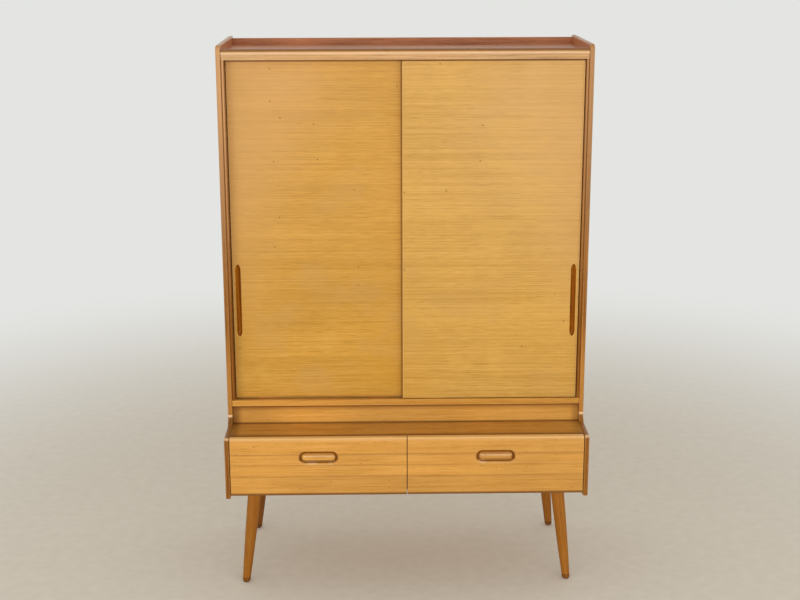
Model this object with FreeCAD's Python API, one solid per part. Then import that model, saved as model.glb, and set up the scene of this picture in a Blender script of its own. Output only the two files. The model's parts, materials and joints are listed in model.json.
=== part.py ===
# Highboard: a shallow cabinet with two sliding doors over a deeper base with two drawers.
# Millimetres. X runs to the right, Y to the back and Z up. The front faces -Y.
# The origin is on the floor, under the middle of the overall box.
import FreeCAD, Part
import math
import os

Vector = FreeCAD.Vector
X_AXIS = Vector(1, 0, 0)
Y_AXIS = Vector(0, 1, 0)
Z_AXIS = Vector(0, 0, 1)
SIDES = {"left": -1, "right": 1}

# Overall sizes
overall_width = 1000.0
overall_height = 1517.0
upper_depth = 360.0
lower_depth = 484.0

# Clearances
running_gap = 0.3
glue_gap = 0.05
inlay_gap = 0.1

# Boards
board_thickness = 16.0
side_thickness = 13.0
back_thickness = 5.0
back_recess = 3.0
back_joint_gap = 0.5

# Heights from the floor up: base, drawers, step, riser, cabinet floor
base_level = 308.0
drawer_space = 126.0
riser_height = 53.0
floor_thickness = 17.0

# Side panels
side_skirt = 16.0
step_rise = 3.0
step_fillet = 25.0
step_nose = 10.0
side_top_round = 14.0

# Top: a board sunk between the raised sides, the front rail and the gallery at the back
top_rail_drop = 10.0
top_rail_height = 28.5
top_rail_depth = 10.0
top_rail_recess = 2.0
top_rail_round = min(9.0, 0.9 * top_rail_depth)
top_sink = 15.0
top_thickness = 18.0
gallery_rise = 19.0
gallery_depth = 14.0
gallery_rebate = 3.0

# Cabinet floor, riser, step shelf and base
floor_recess = 2.0
floor_round = 2.0
floor_lip = 4.0
riser_recess = 10.0
riser_housing = 3.0
step_shelf_round = 5.0
step_shelf_gap = 4.0
front_stop_gap = 0.5

# Inside the cabinet
partition_setback = 6.0
shelf_setback = 4.0
shelf_side_gap = 1.0
shelf_back_gap = 2.0
shelf_rises = {"lower": 300.0, "upper": 616.0}
pin_radius = 2.5
pin_seat = 7.0
pin_reach = 8.0
pin_inset = 40.0

# Doors and their tracks
jamb_width = 8.0
door_thickness = 16.0
door_setback = 10.0
door_spacing = 4.0
door_overlap = 18.0
door_end_gap = 1.5
door_floor_gap = 4.0
door_head_gap = 2.5
door_edge_round = 1.0
tongue_thickness = 8.0
tongue_height = 7.0
track_thickness = 8.5
track_groove_depth = 7.0
track_side_gap = 0.5
track_back_margin = 2.0
glide_length = 60.0
glide_thickness = 6.0
glide_seat = 8.0
glide_inset = 60.0
glide_groove_depth = 2.5
trough_depth = 4.0

# Door pulls
door_pull_length = 205.0
door_pull_width = 14.0
door_pull_tip = 18.0
door_pull_depth = 10.0
door_pull_rim = 1.5
door_pull_channel_depth = 7.0
door_pull_rise = 282.0
door_pull_inset = 15.5

# Drawer fronts
front_thickness = 20.0
front_drop = 6.0
front_lip = 1.5
front_round = 9.0
front_foot_round = 2.0
front_side_gap = 1.5
front_middle_gap = 2.0

# Drawer boxes and runners
box_side_gap = 4.0
box_side_thickness = 14.0
box_base_gap = 8.0
box_top_gap = 18.0
box_back_gap = 36.0
box_back_drop = 6.0
box_bottom_thickness = 4.0
box_bottom_rise = 10.0
box_bottom_groove = 6.0
runner_reach = 6.0
runner_height = 16.0
runner_rise = 50.0
runner_groove_stop = 20.0
runner_front_gap = 4.0
runner_back_gap = 18.0
runner_groove_gap = 0.5

# Drawer pulls
recess_length = 111.0
recess_height = 39.0
recess_bevel_depth = 6.0
recess_bevel = 3.5
recess_depth = 16.0
recess_rise = 109.5
pull_length = 94.0
pull_height = 25.0
pull_lift = 2.0
pull_thickness = 12.0
pull_proud = 2.0
pull_round = 10.0
pull_post_radius = 5.0
pull_post_spacing = 54.0

# Legs
leg_splay = 6.2
leg_foot_radius = 10.6
leg_top_radius = 19.0
leg_swell = 1.4
front_leg_side_inset = 40.0
back_leg_side_inset = 44.5
leg_front_inset = 93.0
leg_back_inset = 14.0
leg_block_size = 76.0
leg_block_thickness = 15.0
leg_block_screw_inset = 10.0
tenon_radius = 11.0
tenon_bite = 10.0
foot_glide_radius = 8.0
foot_glide_thickness = 3.0

# Dowels
dowel_radius = 3.0
dowel_length = 30.0
dowel_short_end = 8.0
dowel_inset = 40.0
rail_dowel_rise = 12.0
box_dowel_inset = 20.0

# Screws: head radius, shank radius, head height, and how far they bite into what they hold to
back_screw = (3.5, 1.6, 2.2, 15.0)
block_screw = (4.0, 2.0, 2.5, 11.0)
runner_screw = (3.5, 1.6, 2.2, 5.0)
pull_screw = (4.0, 2.0, 2.5, 6.0)
screw_slot_width = 0.9
screw_slot_depth = 0.8
back_screw_inset = 30.0
runner_screw_inset = 40.0

# Levels that follow from the sizes above
base_top = base_level + board_thickness
step_shelf_underside = base_top + drawer_space
step_shelf_level = step_shelf_underside + board_thickness
floor_underside = step_shelf_level + riser_height
floor_level = floor_underside + floor_thickness
floor_middle = floor_level - floor_thickness / 2
side_foot_level = base_level - side_skirt
step_level = step_shelf_level + step_rise
top_rail_level = overall_height - top_rail_drop
top_level = top_rail_level - top_sink
top_underside = top_level - top_thickness
gallery_top = top_level + gallery_rise
gallery_seat = top_level - gallery_rebate
riser_seat = step_shelf_level - riser_housing
track_underside = top_rail_level - top_rail_height
track_top = track_underside + track_thickness
trough_level = floor_level - trough_depth
door_bottom = trough_level + door_floor_gap
door_shoulder = track_underside - door_head_gap
front_bottom = base_level - front_drop
front_top = step_shelf_level + front_lip
recess_level = front_bottom + recess_rise
pull_level = recess_level + pull_lift
box_bottom_level = base_top + box_base_gap
box_top_level = step_shelf_underside - box_top_gap
box_panel_level = box_bottom_level + box_bottom_rise
box_panel_top = box_panel_level + box_bottom_thickness
runner_level = box_bottom_level + runner_rise
leg_block_level = base_level - leg_block_thickness

# Planes from front to back
back_y = (lower_depth + pull_proud) / 2
upper_front_y = back_y - upper_depth
lower_front_y = back_y - lower_depth
board_back_y = back_y - back_recess - back_thickness
gallery_front_y = back_y - gallery_depth
top_rail_front_y = upper_front_y + top_rail_recess
top_rail_back_y = top_rail_front_y + top_rail_depth
floor_front_y = upper_front_y + floor_recess
riser_front_y = upper_front_y + riser_recess
front_back_y = lower_front_y + front_thickness
step_shelf_front_y = front_back_y + step_shelf_gap
base_front_y = front_back_y + front_stop_gap
right_door_y = upper_front_y + door_setback
left_door_y = right_door_y + door_thickness + door_spacing
door_front_y = {"left": left_door_y, "right": right_door_y}
door_back_y = left_door_y + door_thickness
track_back_y = door_back_y + track_back_margin
partition_front_y = door_back_y + partition_setback
shelf_front_y = partition_front_y + shelf_setback
shelf_back_y = board_back_y - shelf_back_gap
box_back_y = board_back_y - box_back_gap
runner_front_y = front_back_y + runner_groove_stop + runner_front_gap
runner_back_y = board_back_y - runner_back_gap

# Widths
half_width = overall_width / 2
half_board = board_thickness / 2
inner_half = half_width - side_thickness
opening_half = inner_half - jamb_width
door_width = opening_half - door_end_gap + door_overlap / 2
full_width = (-inner_half, inner_half)
upright_width = (-half_board, half_board)
leg_slope = math.tan(math.radians(leg_splay))

shapes = {}
groups = {}


def box(x_span, y_span, z_span):
    low = Vector(min(x_span), min(y_span), min(z_span))
    high = Vector(max(x_span), max(y_span), max(z_span))
    return Part.makeBox(high.x - low.x, high.y - low.y, high.z - low.z, low)


def rod(radius, start, end):
    return Part.makeCylinder(radius, (end - start).Length, start, end - start)


def spread(low, high, count):
    return [low + (high - low) * step / (count - 1) for step in range(count)]


def rounded(shape, radius, **planes):
    """Round the edges whose ends all lie on the given planes, such as y=10, z=5."""
    chosen = []
    for edge in shape.Edges:
        ends = [vertex.Point for vertex in edge.Vertexes]
        if all(abs(getattr(end, axis) - value) < 1e-6 for end in ends for axis, value in planes.items()):
            chosen.append(edge)
    return shape.makeFillet(radius, chosen)


def stadium_wire(centre, length, width, upright=False):
    """Outline with half-round ends in a plane of constant Y, its long side along X or along Z."""
    radius = width / 2
    half = length / 2 - radius

    def point(along, across):
        return centre + (Vector(across, 0, along) if upright else Vector(along, 0, across))

    return Part.Wire([
        Part.LineSegment(point(-half, radius), point(half, radius)).toShape(),
        Part.Arc(point(half, radius), point(half + radius, 0), point(half, -radius)).toShape(),
        Part.LineSegment(point(half, -radius), point(-half, -radius)).toShape(),
        Part.Arc(point(-half, -radius), point(-half - radius, 0), point(-half, radius)).toShape(),
    ])


def stadium_prism(centre, length, width, depth, upright=False):
    return Part.Face(stadium_wire(centre, length, width, upright)).extrude(Y_AXIS * depth)


def tapered_wire(centre, length, width, tip):
    """Upright outline in a plane of constant Y, its ends drawn out to half ellipses."""
    radius = width / 2
    half = length / 2 - tip

    def point(along, across):
        return centre + Vector(across, 0, along)

    def end(way):
        curve = Part.Ellipse(point(way * (half + tip), 0), point(way * half, radius), point(way * half, 0))
        return Part.ArcOfEllipse(curve, -math.pi / 2, math.pi / 2).toShape()

    return Part.Wire([
        Part.LineSegment(point(-half, radius), point(half, radius)).toShape(),
        end(1),
        Part.LineSegment(point(half, -radius), point(-half, -radius)).toShape(),
        end(-1),
    ])


def tapered_prism(centre, length, width, tip, depth):
    return Part.Face(tapered_wire(centre, length, width, tip)).extrude(Y_AXIS * depth)


def add_to_group(group, solid):
    groups.setdefault(group, []).append(solid)


def drill(names, tool):
    for name in names:
        shapes[name] = shapes[name].cut(tool)


def add_dowel(group, start, direction, names):
    """A dowel whose short end lies behind start and whose long end runs along direction."""
    first = start - direction * dowel_short_end
    last = first + direction * dowel_length
    add_to_group(group, rod(dowel_radius, first, last))
    drill(names, rod(dowel_radius + glue_gap, first - direction * glue_gap, last + direction * glue_gap))


def screw_body(sizes, grip, head, direction, gap):
    head_radius, shank_radius, head_height, bite = sizes
    neck = head + direction * head_height
    tip = head + direction * (grip + bite + gap)
    cone = Part.makeCone(head_radius + gap, shank_radius + gap, head_height, head, direction)
    return cone.fuse(rod(shank_radius + gap, neck, tip))


def add_screw(group, sizes, grip, head, direction, names, slot_along):
    """A slotted countersunk screw, flush with the surface at head, and its hole in each named piece."""
    reach = slot_along * sizes[0]
    half_slot = direction.cross(slot_along) * (screw_slot_width / 2)
    corners = [
        head - reach - half_slot,
        head + reach - half_slot,
        head + reach + half_slot,
        head - reach + half_slot,
    ]
    slot = Part.Face(Part.makePolygon(corners + corners[:1])).extrude(direction * screw_slot_depth)
    add_to_group(group, screw_body(sizes, grip, head, direction, 0.0).cut(slot))
    drill(names, screw_body(sizes, grip, head, direction, glue_gap))


# Side panels: shallow beside the doors, swept out to the depth of the drawers
def side_outline(x):
    turn = math.sqrt(0.5)
    nose_y = lower_front_y + step_nose
    nose_z = step_level - step_nose
    fillet_y = upper_front_y - step_fillet
    fillet_z = step_level + step_fillet
    crown_y = upper_front_y + side_top_round
    crown_z = overall_height - side_top_round

    def line(start, end):
        return Part.LineSegment(Vector(x, *start), Vector(x, *end)).toShape()

    def arc(start, middle, end):
        return Part.Arc(Vector(x, *start), Vector(x, *middle), Vector(x, *end)).toShape()

    nose_middle = (nose_y - step_nose * turn, nose_z + step_nose * turn)
    fillet_middle = (fillet_y + step_fillet * turn, fillet_z - step_fillet * turn)
    crown_middle = (crown_y - side_top_round * turn, crown_z + side_top_round * turn)
    return Part.Wire([
        line((back_y, side_foot_level), (lower_front_y, side_foot_level)),
        line((lower_front_y, side_foot_level), (lower_front_y, nose_z)),
        arc((lower_front_y, nose_z), nose_middle, (nose_y, step_level)),
        line((nose_y, step_level), (fillet_y, step_level)),
        arc((fillet_y, step_level), fillet_middle, (upper_front_y, fillet_z)),
        line((upper_front_y, fillet_z), (upper_front_y, crown_z)),
        arc((upper_front_y, crown_z), crown_middle, (crown_y, overall_height)),
        line((crown_y, overall_height), (back_y, overall_height)),
        line((back_y, overall_height), (back_y, side_foot_level)),
    ])


for side, sign in SIDES.items():
    outline = Part.Face(side_outline(sign * inner_half))
    shapes["side_panel_" + side] = outline.extrude(X_AXIS * (sign * side_thickness))

# Boards between the side panels: the top is rebated for gallery and track, the step grooved for the riser
top_board = box(full_width, (top_rail_back_y, board_back_y), (top_underside, top_level))
gallery = box(full_width, (gallery_front_y, back_y), (gallery_seat, gallery_top))
track_rebate = box(full_width, (top_rail_back_y, track_back_y), (top_underside, track_top))
shapes["gallery_rail"] = gallery
shapes["top_panel"] = top_board.cut(gallery).cut(track_rebate)
rail = box(full_width, (top_rail_front_y, top_rail_back_y), (track_underside, top_rail_level))
shapes["top_front_rail"] = rounded(rail, top_rail_round, y=top_rail_front_y, z=top_rail_level)
floor_board = box(full_width, (floor_front_y, board_back_y), (floor_underside, floor_level))
floor_board = rounded(floor_board, floor_round, y=floor_front_y, z=floor_level)
riser_span = (riser_front_y, riser_front_y + board_thickness)
riser = box(full_width, riser_span, (riser_seat, floor_underside))
shapes["riser_panel"] = riser
step_shelf = box(full_width, (step_shelf_front_y, board_back_y), (step_shelf_underside, step_shelf_level))
step_shelf = rounded(step_shelf, step_shelf_round, y=step_shelf_front_y, z=step_shelf_level)
shapes["step_shelf"] = step_shelf.cut(riser)
shapes["base_panel"] = box(full_width, (base_front_y, board_back_y), (base_level, base_top))

# Uprights
divider_height = (base_top, step_shelf_underside)
shapes["drawer_divider"] = box(upright_width, (base_front_y, board_back_y), divider_height)
partition_height = (floor_level, top_underside)
shapes["centre_partition"] = box(upright_width, (partition_front_y, board_back_y), partition_height)

# Door tracks: grooves for the doors' tongues above, and below a trough with grooves for their glides
upper_track = box(full_width, (top_rail_back_y, track_back_y), (track_underside, track_top))
trough_span = (floor_front_y + floor_lip, track_back_y)
floor_board = floor_board.cut(box((-opening_half, opening_half), trough_span, (trough_level, floor_level)))
tongue_room = tongue_thickness / 2 + track_side_gap
glide_room = glide_thickness / 2 + running_gap
for front_y in door_front_y.values():
    middle_y = front_y + door_thickness / 2
    tongue_span = (middle_y - tongue_room, middle_y + tongue_room)
    tongue_height_span = (track_underside, track_underside + track_groove_depth)
    upper_track = upper_track.cut(box(full_width, tongue_span, tongue_height_span))
    glide_span = (middle_y - glide_room, middle_y + glide_room)
    glide_height_span = (trough_level - glide_groove_depth, trough_level)
    floor_board = floor_board.cut(box((-opening_half, opening_half), glide_span, glide_height_span))
shapes["upper_door_track"] = upper_track
shapes["cabinet_floor"] = floor_board

# Door jambs
for side, sign in SIDES.items():
    jamb_span = (sign * opening_half, sign * inner_half)
    jamb_height = (floor_level, track_underside)
    shapes["door_jamb_" + side] = box(jamb_span, (top_rail_front_y, track_back_y), jamb_height)


# Adjustable shelves, each on four pins
def add_shelf(place, rise, side, sign):
    bottom = floor_level + rise
    shelf_span = (sign * (half_board + shelf_side_gap), sign * (inner_half - shelf_side_gap))
    shelf_height = (bottom, bottom + board_thickness)
    shapes["shelf_" + place + "_" + side] = box(shelf_span, (shelf_front_y, shelf_back_y), shelf_height)
    pin_level = bottom - pin_radius - glue_gap
    walls = ((half_board, -1, "centre_partition"), (inner_half, 1, "side_panel_" + side))
    for pin_y in (shelf_front_y + pin_inset, shelf_back_y - pin_inset):
        for wall, into_wall, panel in walls:
            seat = Vector(sign * (wall + into_wall * pin_seat), pin_y, pin_level)
            tip = Vector(sign * (wall - into_wall * pin_reach), pin_y, pin_level)
            add_to_group("shelf_pins", rod(pin_radius, seat, tip))
            hole_end = seat + X_AXIS * (sign * into_wall * glue_gap)
            drill([panel], rod(pin_radius + glue_gap, hole_end, tip))


for side, sign in SIDES.items():
    for place, rise in shelf_rises.items():
        add_shelf(place, rise, side, sign)

# Back panels and their screws
back_panel_y = board_back_y + back_thickness
back_panel_span = (board_back_y, back_panel_y)
upper_back_height = (floor_middle + back_joint_gap / 2, gallery_seat)
lower_back_height = (base_level, floor_middle - back_joint_gap / 2)
shapes["upper_back_panel"] = box(full_width, back_panel_span, upper_back_height)
shapes["lower_back_panel"] = box(full_width, back_panel_span, lower_back_height)
screw_half = inner_half - back_screw_inset
board_screw_rows = [
    ("upper_back_panel", "top_panel", top_level - top_thickness / 2),
    ("upper_back_panel", "cabinet_floor", floor_middle + floor_thickness / 4),
    ("lower_back_panel", "cabinet_floor", floor_middle - floor_thickness / 4),
    ("lower_back_panel", "step_shelf", step_shelf_level - half_board),
    ("lower_back_panel", "base_panel", base_level + half_board),
]
back_screws = [
    (x, level, panel, board)
    for panel, board, level in board_screw_rows
    for x in spread(-screw_half, screw_half, 5)
]
back_screws += [
    (0.0, level, "upper_back_panel", "centre_partition")
    for level in spread(floor_level, top_underside, 5)[1:-1]
]
for x, level, panel, board in back_screws:
    head = Vector(x, back_panel_y, level)
    add_screw("back_panel_screws", back_screw, back_thickness, head, -Y_AXIS, [panel, board], X_AXIS)


# Dowels from the side panels into the ends of the boards
def dowel_row(front_y, level, count):
    return [(y, level) for y in spread(front_y + dowel_inset, board_back_y - dowel_inset, count)]


board_dowels = {
    "top_panel": dowel_row(track_back_y, top_level - top_thickness / 2, 3),
    "top_front_rail": [(top_rail_front_y + top_rail_depth / 2, track_underside + rail_dowel_rise)],
    "cabinet_floor": dowel_row(track_back_y, floor_middle, 3),
    "riser_panel": [(riser_front_y + half_board, (step_shelf_level + floor_underside) / 2)],
    "step_shelf": dowel_row(step_shelf_front_y, step_shelf_level - half_board, 4),
    "base_panel": dowel_row(base_front_y, base_level + half_board, 4),
}
for board, places in board_dowels.items():
    for side, sign in SIDES.items():
        for y, z in places:
            start = Vector(sign * inner_half, y, z)
            add_dowel("carcass_dowels", start, X_AXIS * -sign, [board, "side_panel_" + side])

# Dowels from the horizontal boards into the ends of the uprights
upright_dowels = [
    ("drawer_divider", "base_panel", base_top, 1, base_front_y),
    ("drawer_divider", "step_shelf", step_shelf_underside, -1, base_front_y),
    ("centre_partition", "cabinet_floor", floor_level, 1, partition_front_y),
    ("centre_partition", "top_panel", top_underside, -1, partition_front_y),
]
for upright, board, level, way, front_y in upright_dowels:
    for y, z in dowel_row(front_y, level, 3):
        add_dowel("carcass_dowels", Vector(0, y, z), Z_AXIS * way, [upright, board])


# Doors
def door_pull(centre):
    """Upright inlay with a half-round finger channel, open to the front and drawn out to its ends."""
    body = tapered_prism(centre, door_pull_length, door_pull_width, door_pull_tip, door_pull_depth)
    channel_width = door_pull_width - 2 * door_pull_rim
    channel_length = door_pull_length - 2 * door_pull_rim
    radius = channel_width / 2
    straight = door_pull_channel_depth - radius
    channel = tapered_prism(centre, channel_length, channel_width, door_pull_tip, straight)
    axis = centre + Y_AXIS * straight
    outline = Part.Face(tapered_wire(axis, channel_length, channel_width, door_pull_tip))
    full_height = (axis.z - channel_length, axis.z + channel_length)
    one_side = box((axis.x, axis.x + radius), (axis.y - 1, axis.y + 1), full_height)
    hollow = outline.common(one_side).Faces[0].revolve(axis, Z_AXIS, 180)
    return body.cut(channel).cut(hollow)


def door_panel(x_span, front_y, pull_centre):
    """Panel with a tongue along its top edge and a pocket for the pull."""
    panel = box(x_span, (front_y, front_y + door_thickness), (door_bottom, door_shoulder))
    for level in (door_bottom, door_shoulder):
        panel = rounded(panel, door_edge_round, y=front_y, z=level)
    middle_y = front_y + door_thickness / 2
    tongue_span = (middle_y - tongue_thickness / 2, middle_y + tongue_thickness / 2)
    tongue = box(x_span, tongue_span, (door_shoulder, door_shoulder + tongue_height))
    pocket_length = door_pull_length + 2 * inlay_gap
    pocket_width = door_pull_width + 2 * inlay_gap
    pocket = tapered_prism(pull_centre, pocket_length, pocket_width, door_pull_tip, door_pull_depth)
    return panel.fuse(tongue).removeSplitter().cut(pocket)


def add_door(side, sign):
    name = "door_" + side
    front_y = door_front_y[side]
    outer_x = sign * (opening_half - door_end_gap)
    inner_x = outer_x - sign * door_width
    pull_centre = Vector(outer_x - sign * door_pull_inset, front_y, door_bottom + door_pull_rise)
    shapes[name + "_panel"] = door_panel((inner_x, outer_x), front_y, pull_centre)
    shapes[name + "_pull"] = door_pull(pull_centre)
    middle_y = front_y + door_thickness / 2
    glide_span = (middle_y - glide_thickness / 2, middle_y + glide_thickness / 2)
    glide_bottom = trough_level - glide_groove_depth + running_gap
    for edge, way in ((inner_x, sign), (outer_x, -sign)):
        near = edge + way * glide_inset
        glide = box((near, near + way * glide_length), glide_span, (glide_bottom, door_bottom + glide_seat))
        add_to_group(name + "_glides", glide)
        drill([name + "_panel"], glide)


for side, sign in SIDES.items():
    add_door(side, sign)


# Drawers
def drawer_front(x_span, centre_x):
    """Front with a rounded top edge and an oval recess with a bevelled mouth."""
    front = box(x_span, (lower_front_y, front_back_y), (front_bottom, front_top))
    front = rounded(front, front_round, y=lower_front_y, z=front_top)
    front = rounded(front, front_foot_round, y=lower_front_y, z=front_bottom)
    mouth = Vector(centre_x, lower_front_y, recess_level)
    throat = mouth + Y_AXIS * recess_bevel_depth
    throat_length = recess_length - 2 * recess_bevel
    throat_height = recess_height - 2 * recess_bevel
    mouth_wire = stadium_wire(mouth, recess_length, recess_height)
    throat_wire = stadium_wire(throat, throat_length, throat_height)
    bevel = Part.makeLoft([mouth_wire, throat_wire], True, True)
    well = stadium_prism(throat, throat_length, throat_height, recess_depth - recess_bevel_depth)
    return front.cut(bevel).cut(well)


def drawer_pull(centre_x):
    """Rounded bar that stands a little proud of the front, on two posts in the recess."""
    face = Vector(centre_x, lower_front_y - pull_proud, pull_level)
    bar = stadium_prism(face, pull_length, pull_height, pull_thickness)
    bar = rounded(bar, pull_round, y=face.y)
    for way in (-1, 1):
        post_x = centre_x + way * pull_post_spacing / 2
        post_start = Vector(post_x, face.y + pull_thickness, pull_level)
        post_end = Vector(post_x, lower_front_y + recess_depth, pull_level)
        bar = bar.fuse(rod(pull_post_radius, post_start, post_end))
    return bar


def add_drawer_wall(name, place, wall, inward, carrier):
    """One side of a drawer box, grooved for its runner and bottom; inward points to the drawer's middle."""
    outside = wall + inward * box_side_gap
    inside = outside + inward * box_side_thickness
    runner_tip = outside + inward * runner_reach
    groove_floor = runner_tip + inward * runner_groove_gap
    panel_edge = inside - inward * box_bottom_groove
    length = (front_back_y, box_back_y)
    half_runner = runner_height / 2
    groove_height = (runner_level - half_runner - running_gap, runner_level + half_runner + running_gap)
    groove_length = (front_back_y + runner_groove_stop, box_back_y)
    board = box((outside, inside), length, (box_bottom_level, box_top_level))
    board = board.cut(box((outside, groove_floor), groove_length, groove_height))
    board = board.cut(box((panel_edge, inside), length, (box_panel_level, box_panel_top)))
    shapes[name + "_" + place + "_side"] = board
    runner = name + "_" + place + "_runner"
    runner_span = (runner_level - half_runner, runner_level + half_runner)
    shapes[runner] = box((wall, runner_tip), (runner_front_y, runner_back_y), runner_span)
    grip = box_side_gap + runner_reach
    for y in spread(runner_front_y + runner_screw_inset, runner_back_y - runner_screw_inset, 3):
        head = Vector(runner_tip, y, runner_level)
        add_screw("runner_screws", runner_screw, grip, head, X_AXIS * -inward, [runner, carrier], Y_AXIS)


def add_drawer_corner_dowels(name, place, wall, inward):
    board = name + "_" + place + "_side"
    middle = wall + inward * (box_side_gap + box_side_thickness / 2)
    inside = middle + inward * box_side_thickness / 2
    for level in (box_panel_top + box_dowel_inset, box_top_level - box_dowel_inset):
        front_start = Vector(middle, front_back_y, level)
        add_dowel(name + "_dowels", front_start, Y_AXIS, [name + "_front", board])
        back_start = Vector(inside, box_back_y - box_side_thickness / 2, level)
        add_dowel(name + "_dowels", back_start, X_AXIS * inward, [name + "_back", board])


def add_drawer(side, sign):
    name = "drawer_" + side
    front_span = (sign * front_middle_gap / 2, sign * (inner_half - front_side_gap))
    centre_x = sum(front_span) / 2
    shapes[name + "_front"] = drawer_front(front_span, centre_x)
    shapes[name + "_pull"] = drawer_pull(centre_x)
    inner_wall = sign * half_board
    outer_wall = sign * inner_half
    add_drawer_wall(name, "inner", inner_wall, sign, "drawer_divider")
    add_drawer_wall(name, "outer", outer_wall, -sign, "side_panel_" + side)
    side_reach = sign * (box_side_gap + box_side_thickness)
    box_span = (inner_wall + side_reach, outer_wall - side_reach)
    back_height = (box_panel_top, box_top_level - box_back_drop)
    shapes[name + "_back"] = box(box_span, (box_back_y - box_side_thickness, box_back_y), back_height)
    groove_reach = sign * box_bottom_groove
    panel_span = (box_span[0] - groove_reach, box_span[1] + groove_reach)
    panel_length = (front_back_y - box_bottom_groove, box_back_y)
    shapes[name + "_bottom"] = box(panel_span, panel_length, (box_panel_level, box_panel_top))
    drill([name + "_front"], shapes[name + "_bottom"])
    add_drawer_corner_dowels(name, "inner", inner_wall, sign)
    add_drawer_corner_dowels(name, "outer", outer_wall, -sign)
    grip = front_thickness + pull_proud - pull_thickness
    for way in (-1, 1):
        head = Vector(centre_x + way * pull_post_spacing / 2, front_back_y, pull_level)
        held = [name + "_front", name + "_pull"]
        add_screw(name + "_pull_screws", pull_screw, grip, head, -Y_AXIS, held, X_AXIS)


for side, sign in SIDES.items():
    add_drawer(side, sign)


# Legs: round, with a swelled taper, splayed to the side and to the front or back
def slab(low, high):
    return box((-half_width, half_width), (lower_front_y, back_y), (low, high))


def leg_radius(level):
    share = level / leg_block_level
    return leg_foot_radius + (leg_top_radius - leg_foot_radius) * share + 4 * leg_swell * share * (1 - share)


def add_leg(row, inset, foot_y, inward, side, sign):
    foot_x = sign * (half_width - inset)

    def axis_point(level):
        return Vector(foot_x - sign * leg_slope * level, foot_y + inward * leg_slope * level, level)

    levels = (-leg_foot_radius, leg_block_level / 2, leg_block_level + leg_top_radius)
    run = axis_point(levels[2]) - axis_point(levels[0])
    outward = run.cross(X_AXIS).normalize()
    low, middle, high = (axis_point(level) + outward * leg_radius(level) for level in levels)
    profile = Part.Wire([
        Part.LineSegment(axis_point(levels[0]), low).toShape(),
        Part.Arc(low, middle, high).toShape(),
        Part.LineSegment(high, axis_point(levels[2])).toShape(),
        Part.LineSegment(axis_point(levels[2]), axis_point(levels[0])).toShape(),
    ])
    turned = Part.Face(profile).revolve(axis_point(levels[0]), run, 360)
    shaft = turned.common(slab(foot_glide_thickness, leg_block_level))
    tenon_top = base_level + tenon_bite
    tenon_start = axis_point(leg_block_level - tenon_radius)
    tenon_end = axis_point(tenon_top + tenon_radius)
    tenon = rod(tenon_radius, tenon_start, tenon_end).common(slab(leg_block_level, tenon_top))
    shapes["leg_" + row + "_" + side] = shaft.fuse(tenon)
    foot = Vector(foot_x, foot_y, 0)
    add_to_group("leg_glides", rod(foot_glide_radius, foot, foot + Z_AXIS * foot_glide_thickness))

    block = "leg_block_" + row + "_" + side
    centre = axis_point((leg_block_level + base_level) / 2)
    half_block = leg_block_size / 2
    block_x = (centre.x - half_block, centre.x + half_block)
    block_y = (centre.y - half_block, centre.y + half_block)
    shapes[block] = box(block_x, block_y, (leg_block_level, base_level))
    socket = rod(tenon_radius + glue_gap, tenon_start, tenon_end)
    drill([block, "base_panel"], socket.common(slab(leg_block_level, tenon_top + glue_gap)))
    reach = half_block - leg_block_screw_inset
    for dx in (-reach, reach):
        for dy in (-reach, reach):
            head = Vector(centre.x + dx, centre.y + dy, leg_block_level)
            held = [block, "base_panel"]
            add_screw("leg_block_screws", block_screw, leg_block_thickness, head, Z_AXIS, held, X_AXIS)


for side, sign in SIDES.items():
    add_leg("front", front_leg_side_inset, lower_front_y + leg_front_inset, 1, side, sign)
    add_leg("back", back_leg_side_inset, back_y - leg_back_inset, -1, side, sign)

# One file for each piece and for each group of like fasteners
for group, solids in groups.items():
    shapes[group] = Part.makeCompound(solids)
os.makedirs("parts", exist_ok=True)
for name, shape in shapes.items():
    shape.exportStep(os.path.join("parts", name + ".step"))
print(len(shapes), "pieces written")
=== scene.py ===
import json
import math

import bmesh
import bpy
from mathutils import Matrix, Vector


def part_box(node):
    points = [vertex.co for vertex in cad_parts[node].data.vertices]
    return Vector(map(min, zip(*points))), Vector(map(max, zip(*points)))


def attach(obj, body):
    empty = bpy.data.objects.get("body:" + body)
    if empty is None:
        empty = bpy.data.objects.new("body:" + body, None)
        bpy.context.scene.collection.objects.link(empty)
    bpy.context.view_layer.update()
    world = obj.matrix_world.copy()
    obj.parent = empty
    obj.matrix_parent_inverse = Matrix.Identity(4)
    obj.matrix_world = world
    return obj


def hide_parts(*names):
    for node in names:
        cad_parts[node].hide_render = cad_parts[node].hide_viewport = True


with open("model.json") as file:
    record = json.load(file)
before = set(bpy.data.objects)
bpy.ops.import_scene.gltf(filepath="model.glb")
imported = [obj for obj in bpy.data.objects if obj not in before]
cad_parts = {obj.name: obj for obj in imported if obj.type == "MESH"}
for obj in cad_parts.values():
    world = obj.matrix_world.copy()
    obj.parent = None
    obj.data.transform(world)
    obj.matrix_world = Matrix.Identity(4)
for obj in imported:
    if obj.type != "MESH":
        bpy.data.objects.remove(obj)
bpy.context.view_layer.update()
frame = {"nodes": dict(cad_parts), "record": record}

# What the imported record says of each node: its body and its finish slot
node_body = {
    node: body for body, nodes in frame["record"]["behaviour"]["bodies"].items() for node in nodes
}
node_slot = {entry["node"]: entry["material_slot"] for entry in frame["record"]["subparts"]}
MM = 0.001
SIDES = ("left", "right")
ROWS = ("front", "back")

# Turns that lay the grain, which the finishes draw along X, along another axis
ALONG_X = (0.0, 0.0, 0.0)
ALONG_Y = (0.0, 0.0, -math.pi / 2)
ALONG_Z = (0.0, math.pi / 2, 0.0)


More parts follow.
